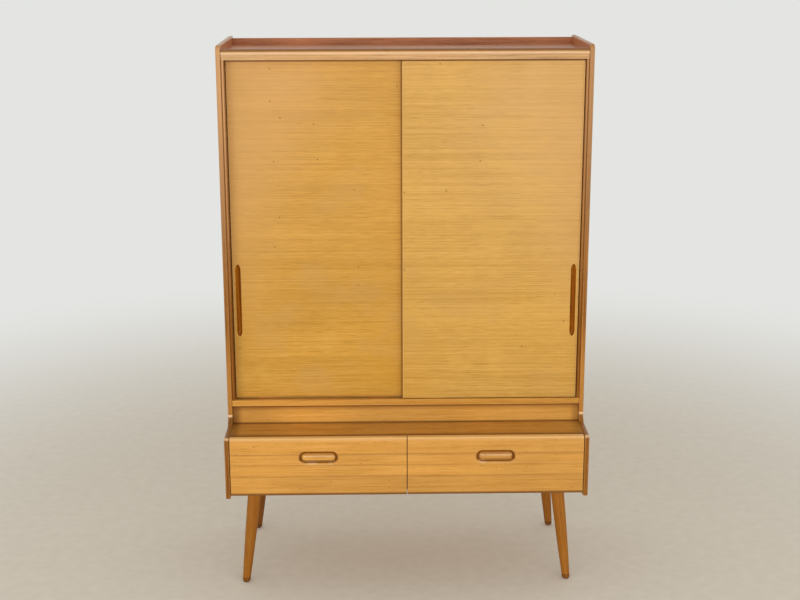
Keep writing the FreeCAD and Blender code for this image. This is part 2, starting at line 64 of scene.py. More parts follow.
def tone(red, green, blue):
    """A colour written as it looks on screen, 0 to 255, as the shader's linear colour."""
    linear = []
    for part in (red / 255.0, green / 255.0, blue / 255.0):
        linear.append(part / 12.92 if part <= 0.04045 else ((part + 0.055) / 1.055) ** 2.4)
    return (*linear, 1.0)


class NodeBench:
    """A node tree in the making, for a finish, a fitting or the world."""

    def __init__(self, tree):
        self.nodes = tree.nodes
        self.links = tree.links

    def feed(self, socket, value):
        if isinstance(value, bpy.types.NodeSocket):
            self.links.new(value, socket)
        else:
            socket.default_value = value

    def add(self, kind, *values, settings=None, **inputs):
        """A new node: its first inputs fed in order, others by their names with _ for a space."""
        node = self.nodes.new(kind)
        for key, value in (settings or {}).items():
            setattr(node, key, value)
        for socket, value in zip(node.inputs, values):
            self.feed(socket, value)
        for key, value in inputs.items():
            self.feed(node.inputs[key.replace("_", " ")], value)
        return node

    def maths(self, operation, first, second=0.0):
        return self.add("ShaderNodeMath", first, second, settings={"operation": operation}).outputs[0]

    def times(self, *values):
        """Product of values."""
        product = values[0]
        for value in values[1:]:
            product = self.maths("MULTIPLY", product, value)
        return product

    def joined(self, x, y, z):
        return self.add("ShaderNodeCombineXYZ", x, y, z).outputs[0]

    def seen_rays(self):
        """One where a ray shows the background itself: straight, mirrored or through glass."""
        path = self.add("ShaderNodeLightPath").outputs
        seen = self.maths("MAXIMUM", path["Is Camera Ray"], path["Is Glossy Ray"])
        return self.maths("MAXIMUM", seen, path["Is Transmission Ray"])

    def show_blend(self, factor, first, second, end):
        """Two shaders, blended by a factor, led to the tree's end node."""
        blend = self.add("ShaderNodeMixShader", factor, first.outputs[0], second.outputs[0])
        self.links.new(blend.outputs[0], self.nodes[end].inputs["Surface"])


# Finishes that are ready, by the slot or piece that they are for
finishes = {}


class FinishBench(NodeBench):
    """One finish in the making: its nodes, and the colour, height and shine that lead to its shader."""

    def __init__(self, name):
        self.name = name
        self.material = bpy.data.materials.new(name.removesuffix("_wood") + "_finish")
        self.material.use_nodes = True
        super().__init__(self.material.node_tree)
        self.shader = self.nodes["Principled BSDF"]
        self.colour = None
        self.height = None
        self.shine = None

    def true_place(self):
        """Object coordinates as they are, in metres."""
        return self.add("ShaderNodeTexCoord").outputs["Object"]

    def place(self, turn=ALONG_X):
        """Object coordinates, turned so that the grain runs along X."""
        return self.add("ShaderNodeMapping", Vector=self.true_place(), Rotation=turn).outputs["Vector"]

    def noise(self, vector, scale, detail=2.0, rough=0.5):
        stretched = self.add("ShaderNodeMapping", Vector=vector, Scale=scale).outputs["Vector"]
        node = self.add("ShaderNodeTexNoise", Vector=stretched, Scale=1.0, Detail=detail, Roughness=rough)
        return node.outputs[0]

    def span(self, value, low, high, to_low=0.0, to_high=1.0):
        """Smooth step of a value from one range to another."""
        smooth = {"interpolation_type": "SMOOTHSTEP"}
        node = self.add("ShaderNodeMapRange", value, low, high, to_low, to_high, settings=smooth)
        return node.outputs["Result"]

    def ramp(self, value, stops):
        node = self.add("ShaderNodeValToRGB", value)
        elements = node.color_ramp.elements
        while len(elements) < len(stops):
            elements.new(0.5)
        for element, (position, colour) in zip(elements, stops):
            element.position = position
            element.color = colour
        return node.outputs["Color"]

    def mix(self, factor, first, second, blend="MIX"):
        node = self.add("ShaderNodeMix", factor, settings={"data_type": "RGBA", "blend_type": blend})
        self.feed(node.inputs[6], first)
        self.feed(node.inputs[7], second)
        return node.outputs[2]

    def axis(self, vector, name):
        return self.add("ShaderNodeSeparateXYZ", vector).outputs[name]

    def spot(self, name):
        """One of the object coordinates as they are."""
        return self.axis(self.true_place(), name)

    def size_of(self, value):
        return self.maths("ABSOLUTE", value)

    def apart(self, value, place):
        """How far a value is from a place, either way."""
        return self.size_of(self.maths("SUBTRACT", value, place))

    def near(self, axis, place, reach):
        """One at a plane across an axis of the piece, falling to nothing at the given reach."""
        return self.span(self.apart(self.spot(axis), place), 0.3 * reach, reach, 1.0, 0.0)

    def moved(self, vector, offset):
        return self.add("ShaderNodeVectorMath", vector, offset, settings={"operation": "ADD"}).outputs[0]

    def weighted(self, *parts):
        """Sum of values, each times its weight."""
        total = None
        for value, weight in parts:
            part = self.times(value, weight)
            total = part if total is None else self.maths("ADD", total, part)
        return total

    def mark(self, name):
        """A value that the piece's own mesh carries, such as how far an edge is worn."""
        return self.add("ShaderNodeAttribute", settings={"attribute_name": name}).outputs["Fac"]

    def tint(self, factor, depth, shade):
        """Turn the colour towards a tone or colour where factor is high, at most by depth."""
        colour = shade if len(shade) == 4 else tone(*shade)
        self.colour = self.mix(self.times(factor, depth), self.colour, colour)

    def tint_along_plane(self, axis, place, reach, depth, shade):
        """Tint along a plane across an axis of the piece."""
        self.tint(self.near(axis, place, reach), depth, shade)

    def shade_by(self, value):
        """Make the colour lighter or darker by a value."""
        self.colour = self.mix(1.0, self.colour, self.joined(value, value, value), "MULTIPLY")

    def close(self, relief, distance):
        """Join colour, shine and height to the shader."""
        bump = self.add("ShaderNodeBump", Strength=relief, Distance=distance, Height=self.height)
        self.feed(self.shader.inputs["Base Color"], self.colour)
        self.feed(self.shader.inputs["Roughness"], self.shine)
        self.feed(self.shader.inputs["Normal"], bump.outputs["Normal"])
        finishes[self.name] = self.material


# Grain, dents, wear and lacquer, which the wood finishes share
GRAIN_DRIFT = 6.0 * MM
LACQUER_RELIEF = 0.16
LACQUER_DISTANCE = 0.4 * MM
EDGE_LIGHT = (236, 194, 138)


def start_wood(
    name, tones, turn=ALONG_X, lines=0.5, pores=0.3, blotch=0.12, calm=0.17, fine=1.0, place=None,
):
    """Grain drawn out along X: broad bands, sparse growth lines, fibres and short open pores."""
    dark, middle, light = (tone(*values) for values in tones)
    wood = FinishBench(name)
    place = place(wood) if place else wood.place(turn)
    wood.flat_place = place
    drift = wood.maths("SUBTRACT", wood.noise(place, (1.1, 2.5, 2.5), detail=1.0), 0.5)
    drift = wood.times(drift, GRAIN_DRIFT)
    place = wood.moved(place, wood.joined(0.0, drift, drift))
    broad = wood.noise(place, (0.8, 10.0, 16.0))
    fibres = wood.noise(place, (4.5 / fine, 90.0, 300.0 * fine), detail=3.0, rough=0.55)
    hairs = wood.noise(place, (22.0, 300.0, 820.0), rough=0.6)
    wood.grain = wood.weighted((broad, 0.10), (fibres, 0.50), (hairs, 0.40))
    stops = ((0.50 - calm, dark), (0.50, middle), (0.50 + calm, light))
    wood.colour = wood.ramp(wood.grain, stops)
    rings = wood.noise(place, (0.5, 7.0, 12.0 * fine))
    folded = wood.maths("PINGPONG", wood.times(rings, 4.0), 0.5)
    faint = wood.noise(place, (6.0 / fine, 24.0, 60.0 * fine * fine))
    wood.line = wood.times(wood.span(folded, 0.0, 0.07, 1.0, 0.0), wood.span(faint, 0.46, 0.64))
    wood.tint(wood.line, lines, dark)
    pore = wood.span(wood.noise(place, (34.0, 420.0, 900.0), detail=1.0), 0.62, 0.74)
    wood.deep = tuple(0.45 * part for part in dark[:3]) + (1.0,)
    wood.tint(pore, pores, wood.deep)
    patch = wood.noise(place, (2.2, 2.2, 3.2))
    wood.shade_by(wood.span(patch, 0.32, 0.68, 1.0 - blotch, 1.0 + 0.5 * blotch))
    wood.height = wood.weighted((fibres, 0.5), (hairs, 0.4), (pore, -0.7), (wood.line, -0.25))
    return wood


def add_dents(wood, across="X", along="Z", size=1.5 * MM, density=24.0, depth=0.75):
    """Small dark dents, scattered over a face that spans the two given axes."""
    flat = wood.joined(wood.spot(across), wood.spot(along), 0.0)
    cells = wood.add(
        "ShaderNodeTexVoronoi", settings={"voronoi_dimensions": "2D"}, Vector=flat, Scale=density,
    )
    lot = wood.axis(cells.outputs["Color"], "X")
    reach = wood.span(lot, 0.0, 1.0, 0.0, size * density)
    share = wood.maths("DIVIDE", cells.outputs["Distance"], wood.maths("ADD", reach, 0.0001))
    dent = wood.times(wood.span(share, 0.35, 1.0, 1.0, 0.0), wood.span(lot, 0.45, 0.75))
    wood.tint(dent, depth, wood.deep)
    wood.height = wood.maths("SUBTRACT", wood.height, wood.times(dent, 1.5))


def add_wear(wood, shade, depth):
    """Rubbed lacquer along the eased edges."""
    rubbed = wood.noise(wood.flat_place, (35.0, 35.0, 35.0), detail=3.0, rough=0.65)
    worn = wood.times(wood.mark("eased"), wood.span(rubbed, 0.30, 0.62, 0.35, 1.0))
    wood.tint(worn, depth, shade)


def finish_wood(wood, shine, relief=LACQUER_RELIEF, gloss=0.3):
    """Lacquer: shine that follows the grain and old hand marks, and a low relief."""
    wood.shader.inputs["Specular IOR Level"].default_value = gloss
    marks = wood.noise(wood.flat_place, (7.0, 7.0, 9.0), detail=3.0, rough=0.6)
    film = wood.weighted((marks, 0.6), (wood.grain, 0.4))
    wood.shine = wood.span(film, 0.35, 0.65, *shine)
    wood.close(relief, LACQUER_DISTANCE)


def plain_wood(name, tones, shine, turn=ALONG_X, wear=EDGE_LIGHT, gloss=0.3, **grain):
    """One wood all over, with rubbed edges."""
    wood = start_wood(name, tones, turn, **grain)
    add_wear(wood, wear, 0.4)
    finish_wood(wood, shine, gloss=gloss)


# Finish of the doors
LIPPING_WIDTH = 4.1 * MM
DOOR_TONGUE = 7.0 * MM


def door_wood(side, tones, sheen_tone, gold, head, lip):
    """Veneer with the grain across, a painted sheen in places and along the outer edges, a lighter lipping
    down both upright edges, and painted shade at the head, at the foot and, on the left door, beside the
    right door's edge.
    """
    wood = start_wood("door_" + side, tones, lines=0.4, blotch=0.07, calm=0.19, fine=2.3)
    level = wood.spot("Z")
    across = wood.spot("X")
    outward = wood.size_of(across)
    cloud = wood.noise(wood.flat_place, (2.6, 2.6, 2.2))
    # Painted sheen: a pale haze towards the outer edges and the top, broken up by large clouds, standing in
    # for the lacquer's reflection
    painted_sheen = wood.times(
        wood.span(outward, 0.02, 0.44, 0.3, 1.0),
        wood.span(level, 0.75, 1.45),
        wood.span(cloud, 0.36, 0.66, 0.5, 1.0),
    )
    wood.tint(painted_sheen, 0.85, sheen_tone)
    wood.tint(wood.span(cloud, 0.48, 0.30), 0.35, gold)
    # Painted sheen: paler along the outer upright edges in the upper half
    beside = wood.times(wood.span(outward, 0.30, 0.47), wood.span(level, 0.6, 1.0))
    wood.tint(beside, 0.5, (211, 163, 98))
    patches = wood.noise(wood.flat_place, (5.5, 5.5, 7.0), detail=3.0, rough=0.55)
    wood.tint(wood.span(patches, 0.52, 0.68), 0.45, (203, 156, 84))
    wood.tint(wood.span(patches, 0.46, 0.32), 0.25, (226, 178, 88))
    wood.shade_by(wood.span(wood.grain, 0.38, 0.62, 0.945, 1.05))
    wood.tint(wood.line, 0.3, tones[0])
    add_dents(wood, size=3.0 * MM, density=9.0, depth=0.85)
    low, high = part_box(f"door_{side}_panel")
    lipping = (high.x - low.x) / 2 - LIPPING_WIDTH
    from_middle = wood.apart(across, (low.x + high.x) / 2)
    wood.tint(wood.span(from_middle, lipping - 0.3 * MM, lipping + 0.3 * MM), lip, (228, 182, 116))
    joint = wood.span(wood.apart(from_middle, lipping), 0.2 * MM, 0.7 * MM, 1.0, 0.0)
    wood.tint(joint, 0.7 * lip, wood.deep)
    add_wear(wood, EDGE_LIGHT, 0.15)
    shade = (110, 66, 12)
    if side == "left":
        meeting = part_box("door_right_panel")[0].x
        # Painted shadow that the right door's edge casts on the left door beside it
        wood.tint(wood.span(across, meeting - 7.0 * MM, meeting - 1.0 * MM), 0.6, shade)
    # Painted shadow that the top rail casts along the head of the door
    top = high.z - DOOR_TONGUE
    wood.tint(wood.span(level, top - head, top - 0.3 * head), 0.78, shade)
    # Painted shade along the door's foot, above its gap to the cabinet floor
    wood.tint(wood.span(level, low.z, low.z + 4.0 * MM, 1.0, 0.0), 0.15, shade)
    finish_wood(wood, (0.44, 0.58), gloss=0.22)


# Finish of the drawer fronts: the levels of their boards' joints, and the recess round the pull
BOARD_JOINTS = (0.357, 0.421)
BOARD_SEAM = 0.389
RECESS_LEVEL = 411.5 * MM
RECESS_HALF_HEIGHT = 20.5 * MM
RECESS_HALF_WIDTH = 57.0 * MM
RECESS_DEPTH = 16.5 * MM


def add_recess_shading(wood, across, face):
    """Painted shade inside the recess of a drawer front, at its top and ends, and a painted highlight on its
    lower lip.
    """
    low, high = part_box("drawer_right_pull")
    beside = wood.apart(wood.size_of(across), (low.x + high.x) / 2)
    above = wood.maths("SUBTRACT", wood.level, RECESS_LEVEL)
    depth = wood.maths("SUBTRACT", wood.spot("Y"), face)
    within = wood.times(
        wood.span(wood.size_of(above), RECESS_HALF_HEIGHT, RECESS_HALF_HEIGHT - MM),
        wood.span(beside, RECESS_HALF_WIDTH, RECESS_HALF_WIDTH - MM),
        wood.span(depth, RECESS_DEPTH + MM, RECESS_DEPTH),
    )
    inside = wood.span(depth, 0.6 * MM, 2.4 * MM)
    # Painted shade: browner inside the recess, except along its lower part, where the bar and rim shade it
    sunk = wood.times(within, inside, wood.span(above, -13.0 * MM, -9.0 * MM))
    wood.tint(sunk, 0.85, (168, 100, 6))
    # Painted highlight along the recess's lower lip, broken up in patches
    lip_highlight = wood.times(wood.span(depth, 0.2 * MM, 0.8 * MM), wood.span(above, -12.0 * MM, -15.0 * MM))
    rubbed = wood.span(wood.noise(wood.flat_place, (30.0, 8.0, 8.0)), 0.40, 0.62)
    wood.tint(wood.times(within, lip_highlight, rubbed), 0.55, (244, 202, 152))


def drawer_boards(wood):
    """Coordinates that start anew in each of the three boards of a drawer front."""
    place = wood.place()
    wood.level = wood.axis(place, "Z")
    steps = [wood.span(wood.level, joint - 0.05 * MM, joint + 0.05 * MM) for joint in BOARD_JOINTS]
    wood.board = wood.maths("ADD", *steps)
    shift = wood.joined(wood.times(wood.board, 3.7), 0.0, wood.times(wood.board, 0.31))
    return wood.moved(place, shift)


def drawer_wood(name, tones):
    """Three boards, one above the other, each with a grain and tone of its own."""
    wood = start_wood(name, tones, blotch=0.10, calm=0.25, place=drawer_boards)
    shades = wood.ramp(wood.times(wood.board, 0.5), (
        (0.0, (0.97, 0.965, 0.96, 1.0)),
        (0.5, (1.02, 1.02, 1.02, 1.0)),
        (1.0, (0.99, 0.985, 0.98, 1.0)),
    ))
    wood.colour = wood.mix(1.0, wood.colour, shades, "MULTIPLY")
    across = wood.spot("X")
    # Painted light: brighter towards the left, where more light falls, and darker towards the right
    wood.shade_by(wood.span(across, -0.45, 0.45, 1.045, 0.955))
    fade = wood.span(wood.noise(wood.flat_place, (8.0, 2.0, 2.0)), 0.36, 0.60, 0.55, 1.0)
    lower, upper = BOARD_JOINTS
    for joint, reach, depth in ((lower, 4.6, 0.48), (upper, 5.0, 0.52), (BOARD_SEAM, 3.4, 0.42)):
        near = wood.span(wood.apart(wood.level, joint), 0.0, reach * MM, 1.0, 0.0)
        wood.tint(wood.times(near, fade), depth, (150, 96, 30))
    add_dents(wood, size=2.3 * MM)
    add_wear(wood, (240, 200, 140), 0.3)
    # Painted shade beside the gap between the two drawer fronts
    meeting = wood.span(wood.size_of(across), 0.5 * MM, 4.0 * MM, 1.0, 0.0)
    wood.tint(meeting, 0.1, (140, 84, 14))
    low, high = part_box("drawer_left_front")
    # Painted highlight along the rounded top edge of the fronts
    wood.tint_along_plane("Z", high.z - 1.8 * MM, 3.8 * MM, 0.6, (252, 208, 142))
    # Painted shade along the bottom edge of the fronts
    foot = wood.span(wood.level, low.z + 4.0 * MM, low.z + 9.5 * MM, 1.0, 0.0)
    wood.tint(foot, 0.92, (116, 68, 8))
    add_recess_shading(wood, across, low.y)
    finish_wood(wood, (0.26, 0.38), gloss=0.5)


# Finishes of the carcass: the sides' front edges bend forward between these two levels
UPPER_BEND = 0.4915
LOWER_BEND = 0.467
UPPER_FRONT = -0.117
LOWER_FRONT = -0.2375
TROUGH_DEPTH = 4.0 * MM


def rail_wood(name, tones):
    """Light lipping, dark in the joints with the sides, with painted shade on its rounded top edge and a
    painted highlight below it.
    """
    wood = start_wood(name, tones, lines=0.45, blotch=0.14)
    add_dents(wood, size=1.2 * MM)
    add_wear(wood, EDGE_LIGHT, 0.2)
    low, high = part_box("top_front_rail")
    for end in (low.x, high.x):
        wood.tint_along_plane("X", end, 2.6 * MM, 0.75, (104, 60, 24))
    # Painted highlight just below the rounded top edge
    wood.tint_along_plane("Z", high.z - 11.2 * MM, 3.6 * MM, 0.5, (250, 210, 166))
    # Painted shade on the upward-facing rounding of the top edge
    head = wood.span(wood.spot("Z"), high.z - 7.0 * MM, high.z - 5.6 * MM)
    wood.tint(head, 0.88, (132, 80, 24))
    finish_wood(wood, (0.24, 0.36), gloss=0.5)


def paint_light_upwards(wood, depth):
    """Painted light: paler towards the top, and more so on the left, where more light falls."""
    lighter_left = wood.span(wood.spot("X"), -0.3, 0.3, 1.0, 0.6)
    wood.tint(wood.times(wood.span(wood.spot("Z"), 0.7, 1.5), lighter_left), depth, (224, 174, 122))


def jamb_wood(name, tones):
    """Upright lipping, dark in its joint with the side panel, with painted shade along the door and painted
    light towards the top.
    """
    wood = start_wood(name, tones, ALONG_Z, lines=0.35, blotch=0.14)
    paint_light_upwards(wood, 0.75)
    add_wear(wood, EDGE_LIGHT, 0.2)
    low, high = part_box("door_jamb_right")
    joint_and_shade_tone = (104, 56, 4)
    away = wood.size_of(wood.spot("X"))
    wood.tint(wood.span(away, high.x - 3.4 * MM, high.x - 1.2 * MM), 0.85, joint_and_shade_tone)
    # Painted shade along the inner edge, by the gap to the door
    wood.tint(wood.span(away, low.x + 2.4 * MM, low.x + 0.9 * MM), 0.55, joint_and_shade_tone)
    finish_wood(wood, (0.34, 0.48), gloss=0.12)


def side_wood(name, tones):
    """Upright grain, with painted light towards the top and on the front edge above the upper bend, reddish
    inside above the top board, and painted glints at the bends.
    """
    wood = start_wood(name, tones, ALONG_Z, blotch=0.2)
    add_dents(wood, "Y", "Z", density=9.0)
    paint_light_upwards(wood, 0.65)
    add_wear(wood, (212, 156, 92), 0.3)
    level = wood.spot("Z")
    back = wood.spot("Y")
    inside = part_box("side_panel_right")[0].x
    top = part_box("top_panel")[1].z
    inner = wood.times(
        wood.span(wood.size_of(wood.spot("X")), inside + 1.0 * MM, inside + 4.0 * MM, 1.0, 0.0),
        wood.span(level, top - MM, top),
        wood.span(back, UPPER_FRONT + 7.0 * MM, UPPER_FRONT + 13.0 * MM),
    )
    wood.tint(inner, 0.85, TOP[1])
    # Painted light: a lighter band on the front edge, just above the upper bend
    lit_band = wood.times(
        wood.span(level, UPPER_BEND, UPPER_BEND + 8.5 * MM),
        wood.span(level, 0.82, 0.58),
        wood.span(back, UPPER_FRONT + 10.0 * MM, UPPER_FRONT + 4.0 * MM),
    )
    wood.tint(lit_band, 0.5, (214, 150, 70))
    # Painted highlights: light glints on the front edge at both bends
    for bend, front, depth in ((UPPER_BEND, UPPER_FRONT, 0.8), (LOWER_BEND, LOWER_FRONT, 0.6)):
        rubbed = wood.times(wood.near("Z", bend, 5.2 * MM), wood.near("Y", front, 7.0 * MM))
        wood.tint(rubbed, depth, (255, 214, 162))
    finish_wood(wood, (0.28, 0.40), gloss=0.25)


def add_end_shade(wood, shade, wide, left, right):
    """Painted shade towards both ends, where the sides shadow a board, and further in on the left."""
    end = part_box("side_panel_right")[0].x
    wood.tint_along_plane("X", -end, 200.0 * MM, wide, shade)
    wood.tint_along_plane("X", -end, 30.0 * MM, left, shade)
    wood.tint_along_plane("X", end, 28.0 * MM, right, shade)


def step_wood(name, tones):
    """Flat board, with painted shade where it meets the riser, along its front edge and towards its ends."""
    wood = start_wood(name, tones, lines=0.4, blotch=0.14)
    add_dents(wood, "X", "Y", density=14.0)
    add_wear(wood, EDGE_LIGHT, 0.15)
    joint_and_shade_tone = (96, 54, 12)
    # Painted shade in the corner with the riser
    wood.tint_along_plane("Y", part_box("riser_panel")[0].y, 12.0 * MM, 0.6, joint_and_shade_tone)
    # Painted shade along the front edge, by the gap to the drawer fronts
    wood.tint_along_plane("Y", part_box("step_shelf")[0].y, 20.0 * MM, 0.7, joint_and_shade_tone)
    add_end_shade(wood, joint_and_shade_tone, 0.22, 0.5, 0.25)
    finish_wood(wood, (0.30, 0.44))


def riser_wood(name, tones):
    """Upright board, with painted shade under the cabinet floor's overhang, along the step and at its ends.
    """
    wood = start_wood(name, tones, lines=0.3, blotch=0.14, calm=0.22)
    add_dents(wood, size=1.8 * MM, density=16.0)
    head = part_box("riser_panel")[1].z
    joint_and_shade_tone = (112, 62, 4)
    # Painted shade along the foot, in the corner with the step
    wood.tint_along_plane("Z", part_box("step_shelf")[1].z, 4.5 * MM, 0.75, (112, 64, 10))
    # Painted shadow under the cabinet floor's overhang: soft and wide, then dark close to the head
    wood.tint_along_plane("Z", head, 22.0 * MM, 0.5, (140, 84, 12))
    wood.tint_along_plane("Z", head, 9.0 * MM, 0.85, joint_and_shade_tone)
    add_end_shade(wood, joint_and_shade_tone, 0.3, 0.68, 0.4)
    finish_wood(wood, (0.34, 0.48))


def floor_wood(name, tones):
    """Cabinet floor, with painted light down in the grooves where the doors run, lifting their shade."""
    wood = start_wood(name, tones)
    add_wear(wood, EDGE_LIGHT, 0.4)
    low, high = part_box("cabinet_floor")
    trough = high.z - TROUGH_DEPTH
    # Painted light in the door grooves, behind the front lip
    sunk = wood.span(wood.spot("Z"), trough - 0.2 * MM, trough - 0.8 * MM)
    behind = wood.span(wood.spot("Y"), low.y + 5.0 * MM, low.y + 6.0 * MM)
    wood.tint(wood.times(sunk, behind), 0.8, (246, 200, 124))
    finish_wood(wood, (0.36, 0.52))


# Finishes of the pulls, legs, plywood and small fittings
def bar_wood(side, tones):
    """Glossy wood of a drawer pull bar, with painted shade, browner, along its top and underside."""
    wood = start_wood("drawer_pull_" + side, tones, calm=0.22)
    low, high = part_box(f"drawer_{side}_pull")
    level = wood.spot("Z")
    # Painted shade on the upward-facing top and on the underside
    wood.tint(wood.span(level, high.z - 11.0 * MM, high.z - 1.5 * MM), 0.8, (158, 94, 8))
    wood.tint(wood.span(level, low.z + 6.5 * MM, low.z + 1.5 * MM), 0.9, (132, 72, 2))
    finish_wood(wood, (0.14, 0.22), gloss=0.6)


def leg_wood(name, tones, turn):
    """Turned wood with the grain along the leg, and a dark band round the foot."""
    wood = start_wood(name, tones, turn, lines=0.4, blotch=0.2, calm=0.25)
    add_dents(wood, density=20.0)
    ragged = wood.times(wood.noise(wood.flat_place, (40.0, 90.0, 90.0)), 4.0 * MM)
    level = wood.maths("ADD", wood.spot("Z"), ragged)
    wood.tint(wood.span(level, 16.5 * MM, 19.0 * MM, 1.0, 0.0), 0.5, (74, 40, 14))
    finish_wood(wood, (0.40, 0.55), gloss=0.15)


def ply_wood(name, tones, turn):
    """Thin plywood: an open, wavy face grain and no lacquer."""
    wood = start_wood(name, tones, turn, lines=0.55, pores=0.45, blotch=0.22)
    finish_wood(wood, (0.62, 0.78), relief=0.3)


def plastic_finish(name, shade):
    """Moulded plastic, a little rubbed."""
    bench = FinishBench(name)
    scuffs = bench.noise(bench.place(), (260.0, 260.0, 260.0), detail=3.0, rough=0.6)
    rubbed = tuple(1.35 * part for part in shade)
    bench.colour = bench.ramp(scuffs, ((0.35, tone(*shade)), (0.7, tone(*rubbed))))
    bench.shine = bench.span(scuffs, 0.3, 0.7, 0.45, 0.65)
    bench.height = scuffs
    bench.close(0.1, 0.2 * MM)


def metal_finish(name, dark, light, shine):
    """Drawn metal, dull in places."""
    bench = FinishBench(name)
    place = bench.place()
    dull = bench.noise(place, (420.0, 420.0, 420.0), detail=3.0, rough=0.65)
    bench.colour = bench.ramp(dull, ((0.3, tone(*dark)), (0.7, tone(*light))))
    bench.shine = bench.span(dull, 0.3, 0.7, *shine)
    bench.height = bench.noise(place, (90.0, 1400.0, 1400.0))
    bench.shader.inputs["Metallic"].default_value = 1.0
    bench.close(0.12, 0.1 * MM)


# Dark, middle and light tone of each wood
DOOR_LEFT = ((180, 129, 36), (207, 153, 60), (221, 170, 82))
DOOR_RIGHT = ((187, 138, 52), (210, 161, 76), (224, 179, 100))
DRAWER = ((184, 124, 38), (216, 155, 66), (232, 176, 92))
RISER = ((196, 136, 48), (226, 166, 76), (236, 184, 98))
FLOOR = ((180, 120, 40), (209, 148, 57), (222, 166, 80))
RAIL = ((172, 118, 58), (202, 152, 88), (218, 172, 112))
JAMB = ((110, 62, 12), (154, 94, 26), (184, 124, 50))
SIDE = ((110, 62, 10), (152, 93, 22), (182, 124, 48))
TOP = ((141, 79, 50), (202, 132, 89), (224, 158, 115))
STEP = ((174, 114, 34), (211, 149, 61), (226, 168, 82))
LEGS = {
    "front": ((134, 76, 14), (176, 111, 34), (200, 138, 58)),
    "back": ((104, 58, 12), (142, 86, 26), (166, 108, 42)),
}
DOOR_PULL = ((96, 46, 0), (160, 88, 0), (206, 128, 6))
DRAWER_PULL_LEFT = ((190, 124, 40), (228, 167, 72), (244, 192, 104))
DRAWER_PULL_RIGHT = ((168, 106, 32), (206, 145, 62), (222, 170, 90))
INNER = ((150, 104, 58), (186, 142, 88), (206, 166, 112))
BOX_WOOD = ((182, 140, 86), (208, 170, 114), (224, 190, 136))
BEECH = ((176, 126, 80), (206, 160, 112), (222, 182, 136))
PLY = ((146, 102, 58), (182, 138, 90), (204, 164, 116))
SATIN = (0.48, 0.62)
DULL = (0.50, 0.66)

# Each finish under its slot's name, or under one of its own where pieces of a slot differ
side_wood("side_veneer", SIDE)
plain_wood("top_veneer", TOP, (0.30, 0.42), wear=(196, 136, 104))
jamb_wood("lipping", JAMB)
rail_wood("rail", RAIL)
step_wood("step_veneer", STEP)
riser_wood("riser_veneer", RISER)
floor_wood("floor_veneer", FLOOR)
plain_wood("inner_veneer", INNER, SATIN)
plain_wood("inner_upright", INNER, SATIN, ALONG_Z)
door_wood("left", DOOR_LEFT, (218, 168, 106), (204, 148, 44), 6.5 * MM, 0.25)
door_wood("right", DOOR_RIGHT, (224, 178, 120), (208, 154, 60), 3.6 * MM, 0.18)
drawer_wood("drawer_front", DRAWER)
plain_wood("door_pull_wood", DOOR_PULL, (0.20, 0.30), ALONG_Z, gloss=0.15)
bar_wood("left", DRAWER_PULL_LEFT)
bar_wood("right", DRAWER_PULL_RIGHT)
plain_wood("drawer_box_wood", BOX_WOOD, DULL, ALONG_Y)
plain_wood("drawer_box_cross", BOX_WOOD, DULL)
plain_wood("raw_beech", BEECH, (0.60, 0.75), ALONG_Y, pores=0.5)
ply_wood("back_ply", PLY, ALONG_Z)
ply_wood("drawer_ply", PLY, ALONG_X)
plastic_finish("glide_plastic", (92, 64, 36))
plastic_finish("door_glide", (172, 120, 58))
metal_finish("screw_steel", (120, 116, 110), (176, 172, 166), (0.32, 0.55))
metal_finish("pin_brass", (150, 112, 52), (206, 168, 92), (0.25, 0.45))

# Nodes whose grain direction or tone differs from their slot's
own_finish = {
    "top_front_rail": "rail",
    "upper_door_track": "rail",
    "cabinet_floor": "floor_veneer",
    "drawer_divider": "inner_upright",
    "centre_partition": "inner_upright",
}
for side in SIDES:
    own_finish[f"door_{side}_panel"] = f"door_{side}"
    own_finish[f"door_{side}_glides"] = "door_glide"
    own_finish[f"drawer_{side}_front"] = "drawer_front"
    own_finish[f"drawer_{side}_back"] = "drawer_box_cross"
    own_finish[f"drawer_{side}_bottom"] = "drawer_ply"
    own_finish[f"drawer_{side}_pull"] = f"drawer_pull_{side}"


def finish_for(node):
    """The finish made for a node alone, the one picked for it, or else its slot's."""
    return finishes[node if node in finishes else own_finish.get(node, node_slot[node])]


# Making pieces: angles in degrees above which a corner is shaded sharp, and sizes for cleaning and easing
SHARP_BOARD = 40.0
SHARP_TURNED = 50.0
SHARP_FITTING = 35.0
SHADE_WEIGHT = 80
MERGE_REACH = 1e-6
THIN_EDGE = 1e-7
FLAT_ANGLE = math.radians(0.4)
EASED_ANGLE = math.radians(35.0)
EASED_RUN = 22.0 * MM
EASE_SEGMENTS = 3
MOUTH_BEVEL = 6.0 * MM
MOUTH_SHALLOW = 3.2 * MM


def linked(name, data):
    """A new object in the scene."""
    thing = bpy.data.objects.new(name, data)
    bpy.context.scene.collection.objects.link(thing)
    return thing


def settled(draft, name):
    """A plain mesh with the draft's modifiers worked in; the draft goes."""
    rough = draft.data
    depsgraph = bpy.context.evaluated_depsgraph_get()
    plain = bpy.data.meshes.new_from_object(draft.evaluated_get(depsgraph))
    bpy.data.objects.remove(draft)
    bpy.data.meshes.remove(rough)
    plain.name = name
    return plain


def add_piece(node, mesh, finish):
    """Link a finished mesh as the piece that stands for a node and rides on its body."""
    mesh.materials.clear()
    mesh.materials.append(finish)
    piece = linked(node + "_finished", mesh)
    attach(piece, node_body[node])
    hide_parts(node)


